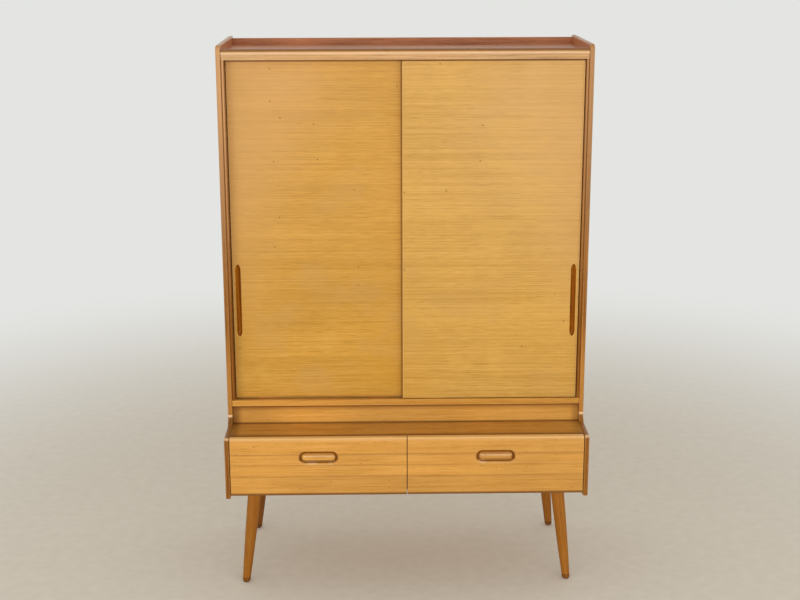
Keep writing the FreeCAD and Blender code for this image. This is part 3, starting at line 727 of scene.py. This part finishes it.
def add_shell(node, shell, sharp_above):
    """Add a shell as a node's piece, shaded smooth but for sharp corners, flat faces kept flat."""
    mesh = bpy.data.meshes.new(node + "_finished")
    shell.to_mesh(mesh)
    shell.free()
    mesh.shade_smooth()
    mesh.set_sharp_from_angle(angle=math.radians(sharp_above))
    draft = linked(node + "_draft", mesh)
    even = draft.modifiers.new("even_shading", "WEIGHTED_NORMAL")
    even.keep_sharp = True
    even.weight = SHADE_WEIGHT
    add_piece(node, settled(draft, node + "_finished"), finish_for(node))


def node_shell(node):
    """The node's own shape as one closed shell: corners merged and flat faces joined."""
    source = frame["nodes"][node].data
    shell = bmesh.new()
    corners = [shell.verts.new(vertex.co) for vertex in source.vertices]
    for face in source.polygons:
        shell.faces.new([corners[index] for index in face.vertices])
    bmesh.ops.remove_doubles(shell, verts=shell.verts[:], dist=MERGE_REACH)
    bmesh.ops.dissolve_limit(shell, angle_limit=FLAT_ANGLE, verts=shell.verts[:], edges=shell.edges[:])
    return shell


def groups(items, neighbours):
    """Split a list into groups of neighbours, always in the same order."""
    waiting = set(items)
    found = []
    for first in items:
        if first not in waiting:
            continue
        waiting.remove(first)
        group = [first]
        for item in group:
            for other in neighbours(item):
                if other in waiting:
                    waiting.remove(other)
                    group.append(other)
        found.append(group)
    return found


def corner_box(places):
    """Low and high corner of the box round some points."""
    low = Vector([min(place[k] for place in places) for k in range(3)])
    high = Vector([max(place[k] for place in places) for k in range(3)])
    return low, high


def long_corners(shell):
    """Outward corners to be eased: sharp edges in runs larger than a drilled hole."""
    sharp = [
        edge for edge in shell.edges
        if len(edge.link_faces) == 2 and edge.is_convex and edge.calc_face_angle() > EASED_ANGLE
    ]
    chosen = []
    for run in groups(sharp, lambda edge: [other for end in edge.verts for other in end.link_edges]):
        low, high = corner_box([vertex.co for edge in run for vertex in edge.verts])
        if (high - low).length > EASED_RUN:
            chosen += run
    return chosen


def open_recess_mouth(shell, node):
    """Make the bevel round a drawer front's recess shallower, so that its lower lip faces the room."""
    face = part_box(node)[0].y
    low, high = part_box(node.replace("_front", "_pull"))
    for vertex in shell.verts:
        beside = abs(vertex.co.x - (low.x + high.x) / 2) < RECESS_HALF_WIDTH
        within = abs(vertex.co.z - RECESS_LEVEL) < RECESS_HALF_HEIGHT
        if beside and within and abs(vertex.co.y - face - MOUTH_BEVEL) < 0.3 * MM:
            vertex.co.y = face + MOUTH_SHALLOW


def eased_piece(node, ease):
    """The node with its long outward corners rounded over, and those marked for wear."""
    shell = node_shell(node)
    if node in ("drawer_left_front", "drawer_right_front"):
        open_recess_mouth(shell, node)
    corners = long_corners(shell)
    strips = set()
    if corners:
        result = bmesh.ops.bevel(
            shell, geom=corners, offset=ease, offset_type="OFFSET", segments=EASE_SEGMENTS, profile=0.5,
            affect="EDGES", clamp_overlap=False, loop_slide=True,
        )
        strips.update(result["faces"])
    eased = shell.verts.layers.float.new("eased")
    for vertex in shell.verts:
        if vertex.link_faces and all(face in strips for face in vertex.link_faces):
            vertex[eased] = 1.0
    add_shell(node, shell, SHARP_BOARD)


# Shells made of rings
def ring_shell(rings, close_end=True, shell=None):
    """A shell through rings of points, all with as many points, its ends closed."""
    if shell is None:
        shell = bmesh.new()
    rows = [[shell.verts.new(point) for point in ring] for ring in rings]
    for row, next_row in zip(rows, rows[1:]):
        for index in range(len(row)):
            after = (index + 1) % len(row)
            shell.faces.new((row[index], row[after], next_row[after], next_row[index]))
    shell.faces.new(rows[0][::-1])
    if close_end:
        shell.faces.new(rows[-1])
    return shell


def cleaned(shell):
    bmesh.ops.remove_doubles(shell, verts=shell.verts[:], dist=MERGE_REACH)
    bmesh.ops.dissolve_degenerate(shell, dist=THIN_EDGE, edges=shell.edges[:])
    bmesh.ops.recalc_face_normals(shell, faces=shell.faces[:])
    return shell


def circle(count):
    """Directions all round, as cosine and sine."""
    turns = [2 * math.pi * step / count for step in range(count)]
    return [(math.cos(turn), math.sin(turn)) for turn in turns]


def half_turns(steps):
    """The two ends of a long ring, each with the angles of its half turn."""
    return [(end, math.pi * step / steps) for end in (1, -1) for step in range(steps + 1)]


def front_middle(low, high):
    """Middle of the front of a box."""
    return Vector(((low.x + high.x) / 2, low.y, (low.z + high.z) / 2))


# Doors' inlaid finger pulls
INLAY_TIP = 18.0 * MM
INLAY_RIM = 1.5 * MM
CHANNEL_DEPTH = 7.0 * MM
CHANNEL_STEPS = 12
TAPERED_STEPS = 24


def tapered_ring(centre, half_length, radius, depth, lean=0.0):
    """Upright ring whose ends are drawn out to half ellipses; leaning turns it down into a hollow."""
    points = []
    for end, turn in half_turns(TAPERED_STEPS):
        across = radius * math.cos(turn)
        along = half_length - INLAY_TIP + INLAY_TIP * math.sin(turn)
        sunk = depth + abs(across) * math.sin(lean)
        points.append(centre + Vector((across * math.cos(lean) * end, sunk, along * end)))
    return points


def door_pull(side):
    """Upright inlay with softened rims round a half-round channel."""
    node = f"door_{side}_pull"
    low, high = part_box(node)
    width, depth, length = high - low
    radius = width / 2
    face = front_middle(low, high)
    channel = radius - INLAY_RIM
    straight = CHANNEL_DEPTH - channel
    profile = [(radius, depth), (radius, 0.5 * MM), (radius - 0.15 * MM, 0.15 * MM), (radius - 0.5 * MM, 0.0)]
    profile += [(channel + 0.5 * MM, 0.0), (channel + 0.12 * MM, 0.15 * MM), (channel, 0.6 * MM)]
    rings = [tapered_ring(face, length / 2 - radius + size, size, reach) for size, reach in profile]
    for step in range(CHANNEL_STEPS + 1):
        lean = math.radians(90.0) * step / CHANNEL_STEPS
        rings.append(tapered_ring(face, length / 2 - INLAY_RIM, channel, straight, lean))
    add_shell(node, cleaned(ring_shell(rings, close_end=False)), SHARP_TURNED)


# Drawer pull bars: a crowned bar on two posts
BAR_THICKNESS = 12.0 * MM
BAR_END_STEPS = 14
CROWN_HEIGHT = 10.0 * MM
CROWN_POWER = 2.1
CROWN_STEPS = 14
CREST_DROP = 3.4 * MM
POST_REACH = 27.0 * MM
POST_RADIUS = 5.0 * MM
POST_FLARE = 0.6 * MM
POST_STEPS = 24


def stadium_ring(centre, half_straight, radius, depth):
    """Ring with half-round ends at the given depth along Y, its long side along X."""
    points = []
    for end, turn in half_turns(BAR_END_STEPS):
        across = radius * math.cos(turn) * end
        along = (half_straight + radius * math.sin(turn)) * end
        points.append(centre + Vector((along, depth, -across)))
    return points


def drawer_pull(side):
    """Rounded bar with a crowned face, its crest below the middle, on two posts."""
    node = f"drawer_{side}_pull"
    low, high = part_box(node)
    radius = (high.z - low.z) / 2
    half_straight = (high.x - low.x) / 2 - radius
    face = front_middle(low, high)
    profile = [(radius - 1.6 * MM, BAR_THICKNESS), (radius - 0.5 * MM, BAR_THICKNESS - 0.5 * MM)]
    profile.append((radius, BAR_THICKNESS - 1.6 * MM))
    for step in range(1, CROWN_STEPS + 1):
        turn = math.radians(90.0) * step / CROWN_STEPS
        share = math.cos(turn) ** (2 / CROWN_POWER)
        profile.append((radius * share, CROWN_HEIGHT * (1.0 - math.sin(turn) ** (2 / CROWN_POWER))))
    rings = []
    for size, reach in profile:
        lower = CREST_DROP * max(0.0, 1.0 - (size / radius) ** 2) if reach < CROWN_HEIGHT else 0.0
        rings.append(stadium_ring(face - Vector((0.0, 0.0, lower)), half_straight, size, reach))
    shell = ring_shell(rings, close_end=False)
    post = (
        (POST_RADIUS + POST_FLARE, BAR_THICKNESS - 0.5 * MM),
        (POST_RADIUS, BAR_THICKNESS + 0.6 * MM),
        (POST_RADIUS, high.y - low.y),
    )
    for way in (-1, 1):
        middle = face + Vector((way * POST_REACH, 0.0, 0.0))
        rings = []
        for size, reach in post:
            rings.append([middle + Vector((x * size, reach, z * size)) for x, z in circle(POST_STEPS)])
        ring_shell(rings, shell=shell)
    add_shell(node, cleaned(shell), SHARP_TURNED)


# Turned legs
LEG_SPLAY = math.radians(6.2)
LEG_FOOT_RADIUS = 10.6 * MM
LEG_TOP_RADIUS = 19.0 * MM
LEG_SWELL = 1.4 * MM
LEG_SOFT = 2.2 * MM
LEG_SHOULDER = 0.8 * MM
SHOULDER_INSET = 0.6 * MM
TENON_RADIUS = 11.0 * MM
LEG_ROUND_STEPS = 56
FOOT_STEPS = 6
TAPER_STEPS = 24


def turned_leg(row, side):
    """Round leg with a swelled taper on its splayed axis, a softened foot and a tenon at the top."""
    node = f"leg_{row}_{side}"
    block_low, block_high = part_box(f"leg_block_{row}_{side}")
    low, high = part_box(node)
    sign = 1 if side == "right" else -1
    inward = 1 if row == "front" else -1
    slope = math.tan(LEG_SPLAY)
    top = block_low.z
    middle = (block_low + block_high) / 2
    foot = Vector((middle.x + sign * slope * middle.z, middle.y - inward * slope * middle.z, 0.0))
    lean = Vector((-sign * slope, inward * slope, 0.0))
    stretch = math.sqrt(1.0 + 2.0 * slope * slope)
    direction = lean.normalized()

    def level_ring(level, radius):
        centre = foot + lean * level + Vector((0.0, 0.0, level))
        ring = []
        for x, y in circle(LEG_ROUND_STEPS):
            offset = Vector((x, y, 0.0)) * radius
            ring.append(centre + offset + direction * (offset.dot(direction) * (stretch - 1.0)))
        return ring

    def taper(level):
        share = level / top
        swell = 4 * LEG_SWELL * share * (1 - share)
        return LEG_FOOT_RADIUS + (LEG_TOP_RADIUS - LEG_FOOT_RADIUS) * share + swell

    rings = []
    for step in range(FOOT_STEPS + 1):
        turn = math.radians(90.0) * step / FOOT_STEPS
        level = low.z + LEG_SOFT * (1.0 - math.cos(turn))
        rings.append(level_ring(level, taper(level) - LEG_SOFT * (1.0 - math.sin(turn))))
    start = low.z + LEG_SOFT
    for step in range(1, TAPER_STEPS + 1):
        level = start + (top - LEG_SHOULDER - start) * step / TAPER_STEPS
        rings.append(level_ring(level, taper(level)))
    rings.append(level_ring(top, taper(top) - SHOULDER_INSET))
    rings.append(level_ring(top, TENON_RADIUS))
    rings.append(level_ring(high.z, TENON_RADIUS))
    axis = (lean + Vector((0.0, 0.0, 1.0))).normalized()
    turn = axis.rotation_difference(Vector((1.0, 0.0, 0.0))).to_euler("XYZ")
    leg_wood(node, LEGS[row], tuple(turn))
    add_shell(node, cleaned(ring_shell(rings)), SHARP_TURNED)


# Geometry nodes for fittings that repeat
SCREW_SIZES = ("Head radius", "Head height", "Shank radius", "Length", "Dome height", "Slot width")
DOME_HEIGHT = 0.6 * MM
SLOT_WIDTH = 0.9 * MM
SCREW_SEED = 7
PIN_SEED = 3
FITTING_MERGE = 0.02 * MM


class FittingTree(NodeBench):
    """A geometry node tree with named sizes, which sets one fitting at each given place."""

    def __init__(self, name):
        self.tree = bpy.data.node_groups.new(name, "GeometryNodeTree")
        super().__init__(self.tree)
        self.socket("Geometry", "OUTPUT", "NodeSocketGeometry")
        self.socket("Places", "INPUT", "NodeSocketGeometry")
        self.start = self.add("NodeGroupInput")
        self.end = self.add("NodeGroupOutput")
        self.sizes = {}

    def socket(self, name, way, kind):
        return self.tree.interface.new_socket(name=name, in_out=way, socket_type=kind)

    def size(self, name):
        """A named size, to be set where the tree is used."""
        self.sizes[name] = self.socket(name, "INPUT", "NodeSocketFloat").identifier
        return self.start.outputs[name]

    def at_height(self, shape, height, scale=(1.0, 1.0, 1.0)):
        """A shape's mesh, scaled and moved along Z."""
        offset = self.joined(0.0, 0.0, height)
        mesh = shape.outputs["Mesh"]
        node = self.add("GeometryNodeTransform", Geometry=mesh, Translation=offset, Scale=scale)
        return node.outputs["Geometry"]

    def solid(self, operation, *parts):
        """One closed solid: overlapping parts joined, or the first less the second."""
        node = self.add("GeometryNodeMeshBoolean", settings={"operation": operation, "solver": "MANIFOLD"})
        if operation == "DIFFERENCE":
            self.links.new(parts[0], node.inputs["Mesh 1"])
            parts = parts[1:]
        for part in parts:
            self.links.new(part, node.inputs["Mesh 2"])
        whole = node.outputs["Mesh"]
        merged = self.add("GeometryNodeMergeByDistance", Geometry=whole, Distance=FITTING_MERGE)
        return merged.outputs["Geometry"]

    def close(self, fitting, material, seed):
        """Set the fitting at each place, its Z along the inward direction, turned at random about it."""
        vectors = {"data_type": "FLOAT_VECTOR"}
        inward = self.add("GeometryNodeInputNamedAttribute", settings=vectors, Name="inward")
        aims = inward.outputs["Attribute"]
        aim = self.add("FunctionNodeAlignRotationToVector", settings={"axis": "Z"}, Vector=aims)
        spin = self.add("FunctionNodeRandomValue", settings={"data_type": "FLOAT"}, Seed=seed)
        least, most = [socket for socket in spin.inputs if socket.type == "VALUE"][:2]
        least.default_value = -math.pi
        most.default_value = math.pi
        lot = [socket for socket in spin.outputs if socket.type == "VALUE"][0]
        about = self.add("FunctionNodeEulerToRotation", self.joined(0.0, 0.0, lot)).outputs[0]
        local = {"rotation_space": "LOCAL"}
        turned = self.add("FunctionNodeRotateRotation", aim.outputs[0], about, settings=local).outputs[0]
        places = self.start.outputs["Places"]
        placed = self.add("GeometryNodeInstanceOnPoints", Points=places, Instance=fitting, Rotation=turned)
        real = self.add("GeometryNodeRealizeInstances", Geometry=placed.outputs[0])
        shown = self.add("GeometryNodeSetMaterial", Geometry=real.outputs[0], Material=material)
        self.links.new(shown.outputs[0], self.end.inputs[0])
        return self


def screw_tree():
    """Countersunk screw with a low dome and a slot, its shank along Z from the head."""
    bench = FittingTree("slotted_screw")
    head, height, shank, length, dome, slot = (bench.size(name) for name in SCREW_SIZES)
    neck = bench.times(shank, 0.9)
    cone = bench.add("GeometryNodeMeshCone", Vertices=32, Radius_Top=neck, Radius_Bottom=head, Depth=height)
    ball = bench.add("GeometryNodeMeshUVSphere", Segments=32, Rings=12, Radius=1.0)
    wide = bench.times(head, 0.985)
    cap = bench.at_height(ball, bench.times(height, 0.05), bench.joined(wide, wide, dome))
    start = bench.times(height, 0.3)
    run = bench.maths("SUBTRACT", length, start)
    rod = bench.add("GeometryNodeMeshCylinder", Vertices=20, Radius=shank, Depth=run)
    rod_at = bench.at_height(rod, bench.maths("ADD", start, bench.times(run, 0.5)))
    cut_size = bench.joined(bench.times(head, 2.4), slot, bench.times(dome, 3.2))
    cut = bench.add("GeometryNodeMeshCube", Size=cut_size)
    cut_at = bench.at_height(cut, bench.times(dome, -0.7))
    whole = bench.solid("UNION", cone.outputs["Mesh"], cap, rod_at)
    whole = bench.solid("DIFFERENCE", whole, cut_at)
    return bench.close(whole, finishes["screw_steel"], SCREW_SEED)


def pin_tree():
    """Shelf pin with a collar against the wall and a rounded tip, its seat along Z."""
    bench = FittingTree("shelf_pin")
    radius = bench.size("Radius")
    length = bench.size("Length")
    reach = bench.size("Reach")
    rod = bench.add("GeometryNodeMeshCylinder", Vertices=28, Radius=radius, Depth=length)
    rod_at = bench.at_height(rod, bench.times(length, 0.5))
    wide = bench.times(radius, 1.5)
    collar = bench.add("GeometryNodeMeshCylinder", Vertices=28, Radius=wide, Depth=0.8 * MM)
    collar_at = bench.at_height(collar, bench.maths("SUBTRACT", reach, 0.4 * MM))
    tip = bench.add("GeometryNodeMeshUVSphere", Segments=28, Rings=14, Radius=radius)
    tip_at = bench.at_height(tip, 0.0, (0.97, 0.97, 0.35))
    whole = bench.solid("UNION", rod_at, collar_at, tip_at)
    return bench.close(whole, finishes["pin_brass"], PIN_SEED)


def loose_parts(node):
    """The corners of each separate solid in a node."""
    shell = node_shell(node)
    found = groups(shell.verts[:], lambda corner: [edge.other_vert(corner) for edge in corner.link_edges])
    parts = [[vertex.co.copy() for vertex in part] for part in found]
    shell.free()
    return parts


def fitting_places(node):
    """Start point at the wide end, inward direction and length of each fitting, from its own solid."""
    places = []
    for corners in loose_parts(node):
        low, high = corner_box(corners)
        size = high - low
        axis = max(range(3), key=lambda k: size[k])
        cross = (axis + 1) % 3
        spread = []
        for end in (low, high):
            near = [corner[cross] for corner in corners if abs(corner[axis] - end[axis]) < 0.1 * MM]
            spread.append(max(near) - min(near))
        wide_below = spread[0] >= spread[1]
        start = (low + high) / 2
        start[axis] = low[axis] if wide_below else high[axis]
        inward = Vector((0.0, 0.0, 0.0))
        inward[axis] = 1.0 if wide_below else -1.0
        places.append((start, inward, size[axis]))
    return places


def set_fittings(node, bench, places, sizes):
    """Run the tree over the places and keep the result as one plain mesh."""
    mesh = bpy.data.meshes.new(node + "_places")
    mesh.from_pydata([start for start, inward in places], [], [])
    aims = mesh.attributes.new("inward", "FLOAT_VECTOR", "POINT")
    for item, (start, inward) in zip(aims.data, places):
        item.vector = inward
    draft = linked(node + "_draft", mesh)
    modifier = draft.modifiers.new("fittings", "NODES")
    modifier.node_group = bench.tree
    for name, value in sizes.items():
        modifier[bench.sizes[name]] = value
    plain = settled(draft, node + "_finished")
    plain.shade_smooth()
    plain.set_sharp_from_angle(angle=math.radians(SHARP_FITTING))
    # The first slot is the empty one that the tree's own shapes bring, so the fittings show bare
    add_piece(node, plain, plain.materials[0])


# Screws: head radius, head height and shank radius in millimetres, and pins: how far they stand out
SMALL_SCREW = (3.5, 2.2, 1.6)
LARGE_SCREW = (4.0, 2.5, 2.0)
SCREW_KINDS = {
    "back_panel_screws": SMALL_SCREW,
    "runner_screws": SMALL_SCREW,
    "leg_block_screws": LARGE_SCREW,
    "drawer_left_pull_screws": LARGE_SCREW,
    "drawer_right_pull_screws": LARGE_SCREW,
}
PIN_REACH = 8.0 * MM


def add_screws():
    bench = screw_tree()
    for node, (head, height, shank) in SCREW_KINDS.items():
        places = fitting_places(node)
        values = (head * MM, height * MM, shank * MM, places[0][2], DOME_HEIGHT, SLOT_WIDTH)
        set_fittings(node, bench, [place[:2] for place in places], dict(zip(SCREW_SIZES, values)))


def add_pins():
    """Each pin starts at its tip, inside the cabinet, and runs into the nearer wall."""
    half_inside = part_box("side_panel_right")[0].x
    partition_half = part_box("centre_partition")[1].x
    places = []
    for corners in loose_parts("shelf_pins"):
        low, high = corner_box(corners)
        middle = (low + high) / 2
        towards_side = abs(middle.x) > (half_inside + partition_half) / 2
        way = math.copysign(1.0, middle.x) * (1.0 if towards_side else -1.0)
        start = Vector((low.x if way > 0 else high.x, middle.y, middle.z))
        places.append((start, Vector((way, 0.0, 0.0))))
    sizes = {"Radius": (high.z - low.z) / 2, "Length": high.x - low.x, "Reach": PIN_REACH}
    set_fittings("shelf_pins", pin_tree(), places, sizes)


# How far each kind of piece has its corners eased, in millimetres
EASES = {
    "side_panel_left": 3.4, "side_panel_right": 3.4, "top_panel": 0.5, "top_front_rail": 0.7,
    "gallery_rail": 1.2, "upper_door_track": 0.4, "cabinet_floor": 0.7, "door_jamb_left": 0.9,
    "door_jamb_right": 0.9, "riser_panel": 0.4, "step_shelf": 0.5, "base_panel": 0.6,
    "drawer_divider": 0.6, "centre_partition": 0.9, "upper_back_panel": 0.4, "lower_back_panel": 0.4,
    "leg_glides": 0.7,
}
for height in ("lower", "upper"):
    for side in SIDES:
        EASES[f"shelf_{height}_{side}"] = 1.0
for side in SIDES:
    EASES[f"door_{side}_panel"] = 1.0
    EASES[f"door_{side}_glides"] = 0.6
    EASES[f"drawer_{side}_front"] = 1.2
    EASES[f"drawer_{side}_back"] = 1.0
    EASES[f"drawer_{side}_bottom"] = 0.3
    for place in ("inner", "outer"):
        EASES[f"drawer_{side}_{place}_side"] = 1.2
        EASES[f"drawer_{side}_{place}_runner"] = 0.9
    for row in ROWS:
        EASES[f"leg_block_{row}_{side}"] = 2.0

for node, ease in EASES.items():
    eased_piece(node, ease * MM)
for side in SIDES:
    door_pull(side)
    drawer_pull(side)
    for row in ROWS:
        turned_leg(row, side)
add_screws()
add_pins()

# The dowels stay as they are, with a turned-beech finish
for node in ("carcass_dowels", "drawer_left_dowels", "drawer_right_dowels"):
    for slot in frame["nodes"][node].material_slots:
        slot.material = finishes["raw_beech"]


# Floor, light and camera
BACKDROP = tone(228, 229, 226)
FLOOR_REACH = 60.0
FADE_START = 1.1
FADE_END = 3.6
WORLD_STRENGTH = 0.60
DAYLIGHT = (1.0, 0.98, 0.95)
WARM_LIGHT = (1.0, 0.97, 0.93)
CAMERA_PLACE = (-0.0862, -3.8231, 1.8006)
CAMERA_YAW = math.radians(1.081)
CAMERA_PITCH = math.radians(14.752)
CAMERA_ROLL = math.radians(-0.141)
SENSOR_WIDTH = 36.0
FOCAL_LENGTH = 62.68


def add_floor():
    """Pale floor that fades to a pale background, and keeps the shadow near the piece."""
    mesh = bpy.data.meshes.new("studio_floor")
    corners = [(x * FLOOR_REACH, y * FLOOR_REACH, 0.0) for x, y in ((-1, -1), (1, -1), (1, 1), (-1, 1))]
    mesh.from_pydata(corners, [], [(0, 1, 2, 3)])
    bench = FinishBench("studio_floor")
    place = bench.place()
    speckle = bench.noise(place, (30.0, 30.0, 30.0), detail=4.0)
    near = bench.ramp(speckle, ((0.3, tone(232, 224, 208)), (0.7, tone(238, 230, 215))))
    bench.feed(bench.shader.inputs["Base Color"], near)
    bench.shader.inputs["Roughness"].default_value = 0.85
    bench.shader.inputs["Specular IOR Level"].default_value = 0.1
    distance = bench.add("ShaderNodeVectorMath", place, settings={"operation": "LENGTH"})
    far = bench.span(distance.outputs["Value"], FADE_START, FADE_END)
    glow = bench.add("ShaderNodeEmission", Color=BACKDROP)
    bench.show_blend(bench.times(far, bench.seen_rays()), bench.shader, glow, "Material Output")
    mesh.materials.append(bench.material)
    linked("studio_floor", mesh)


def add_world():
    """Even light from all round, seen as the pale background."""
    world = bpy.data.worlds.new("studio_world")
    bpy.context.scene.world = world
    world.use_nodes = True
    bench = NodeBench(world.node_tree)
    light = bench.nodes["Background"]
    light.inputs["Color"].default_value = (1.0, 0.985, 0.96, 1.0)
    light.inputs["Strength"].default_value = WORLD_STRENGTH
    seen = bench.add("ShaderNodeBackground", Color=BACKDROP)
    bench.show_blend(bench.seen_rays(), light, seen, "World Output")


def add_lamp(name, place, aim, size, watts, warmth):
    lamp = bpy.data.lights.new(name, "AREA")
    lamp.shape = "RECTANGLE"
    lamp.size, lamp.size_y = size
    lamp.energy = watts
    lamp.color = warmth
    holder = linked(name, lamp)
    holder.location = place
    holder.rotation_euler = (Vector(aim) - Vector(place)).to_track_quat("-Z", "Y").to_euler()


def add_camera():
    """Camera where the photograph's was: its place, turn and lens follow from the piece's edges there."""
    ahead = math.cos(CAMERA_PITCH)
    forward = Vector((math.sin(CAMERA_YAW) * ahead, math.cos(CAMERA_YAW) * ahead, -math.sin(CAMERA_PITCH)))
    level = Vector((math.cos(CAMERA_YAW), -math.sin(CAMERA_YAW), 0.0))
    upward = level.cross(forward)
    right = math.cos(CAMERA_ROLL) * level + math.sin(CAMERA_ROLL) * upward
    up = -math.sin(CAMERA_ROLL) * level + math.cos(CAMERA_ROLL) * upward
    lens = bpy.data.cameras.new("photo_camera")
    lens.sensor_fit = "HORIZONTAL"
    lens.sensor_width = SENSOR_WIDTH
    lens.lens = FOCAL_LENGTH
    camera = linked("photo_camera", lens)
    turn = Matrix((right, up, -forward)).transposed().to_4x4()
    camera.matrix_world = Matrix.Translation(CAMERA_PLACE) @ turn
    bpy.context.scene.camera = camera


add_floor()
add_world()
add_lamp("front_softbox", (0.0, -5.6, 1.6), (0.0, -0.1, 0.9), (5.0, 1.3), 78.0, DAYLIGHT)
add_lamp("left_softbox", (-3.4, -4.4, 1.4), (0.0, -0.1, 0.8), (2.0, 1.8), 40.0, DAYLIGHT)
add_lamp("right_softbox", (3.4, -4.4, 1.4), (0.0, -0.1, 0.8), (2.0, 1.8), 34.0, WARM_LIGHT)
add_camera()
bpy.context.scene.view_settings.view_transform = "Standard"
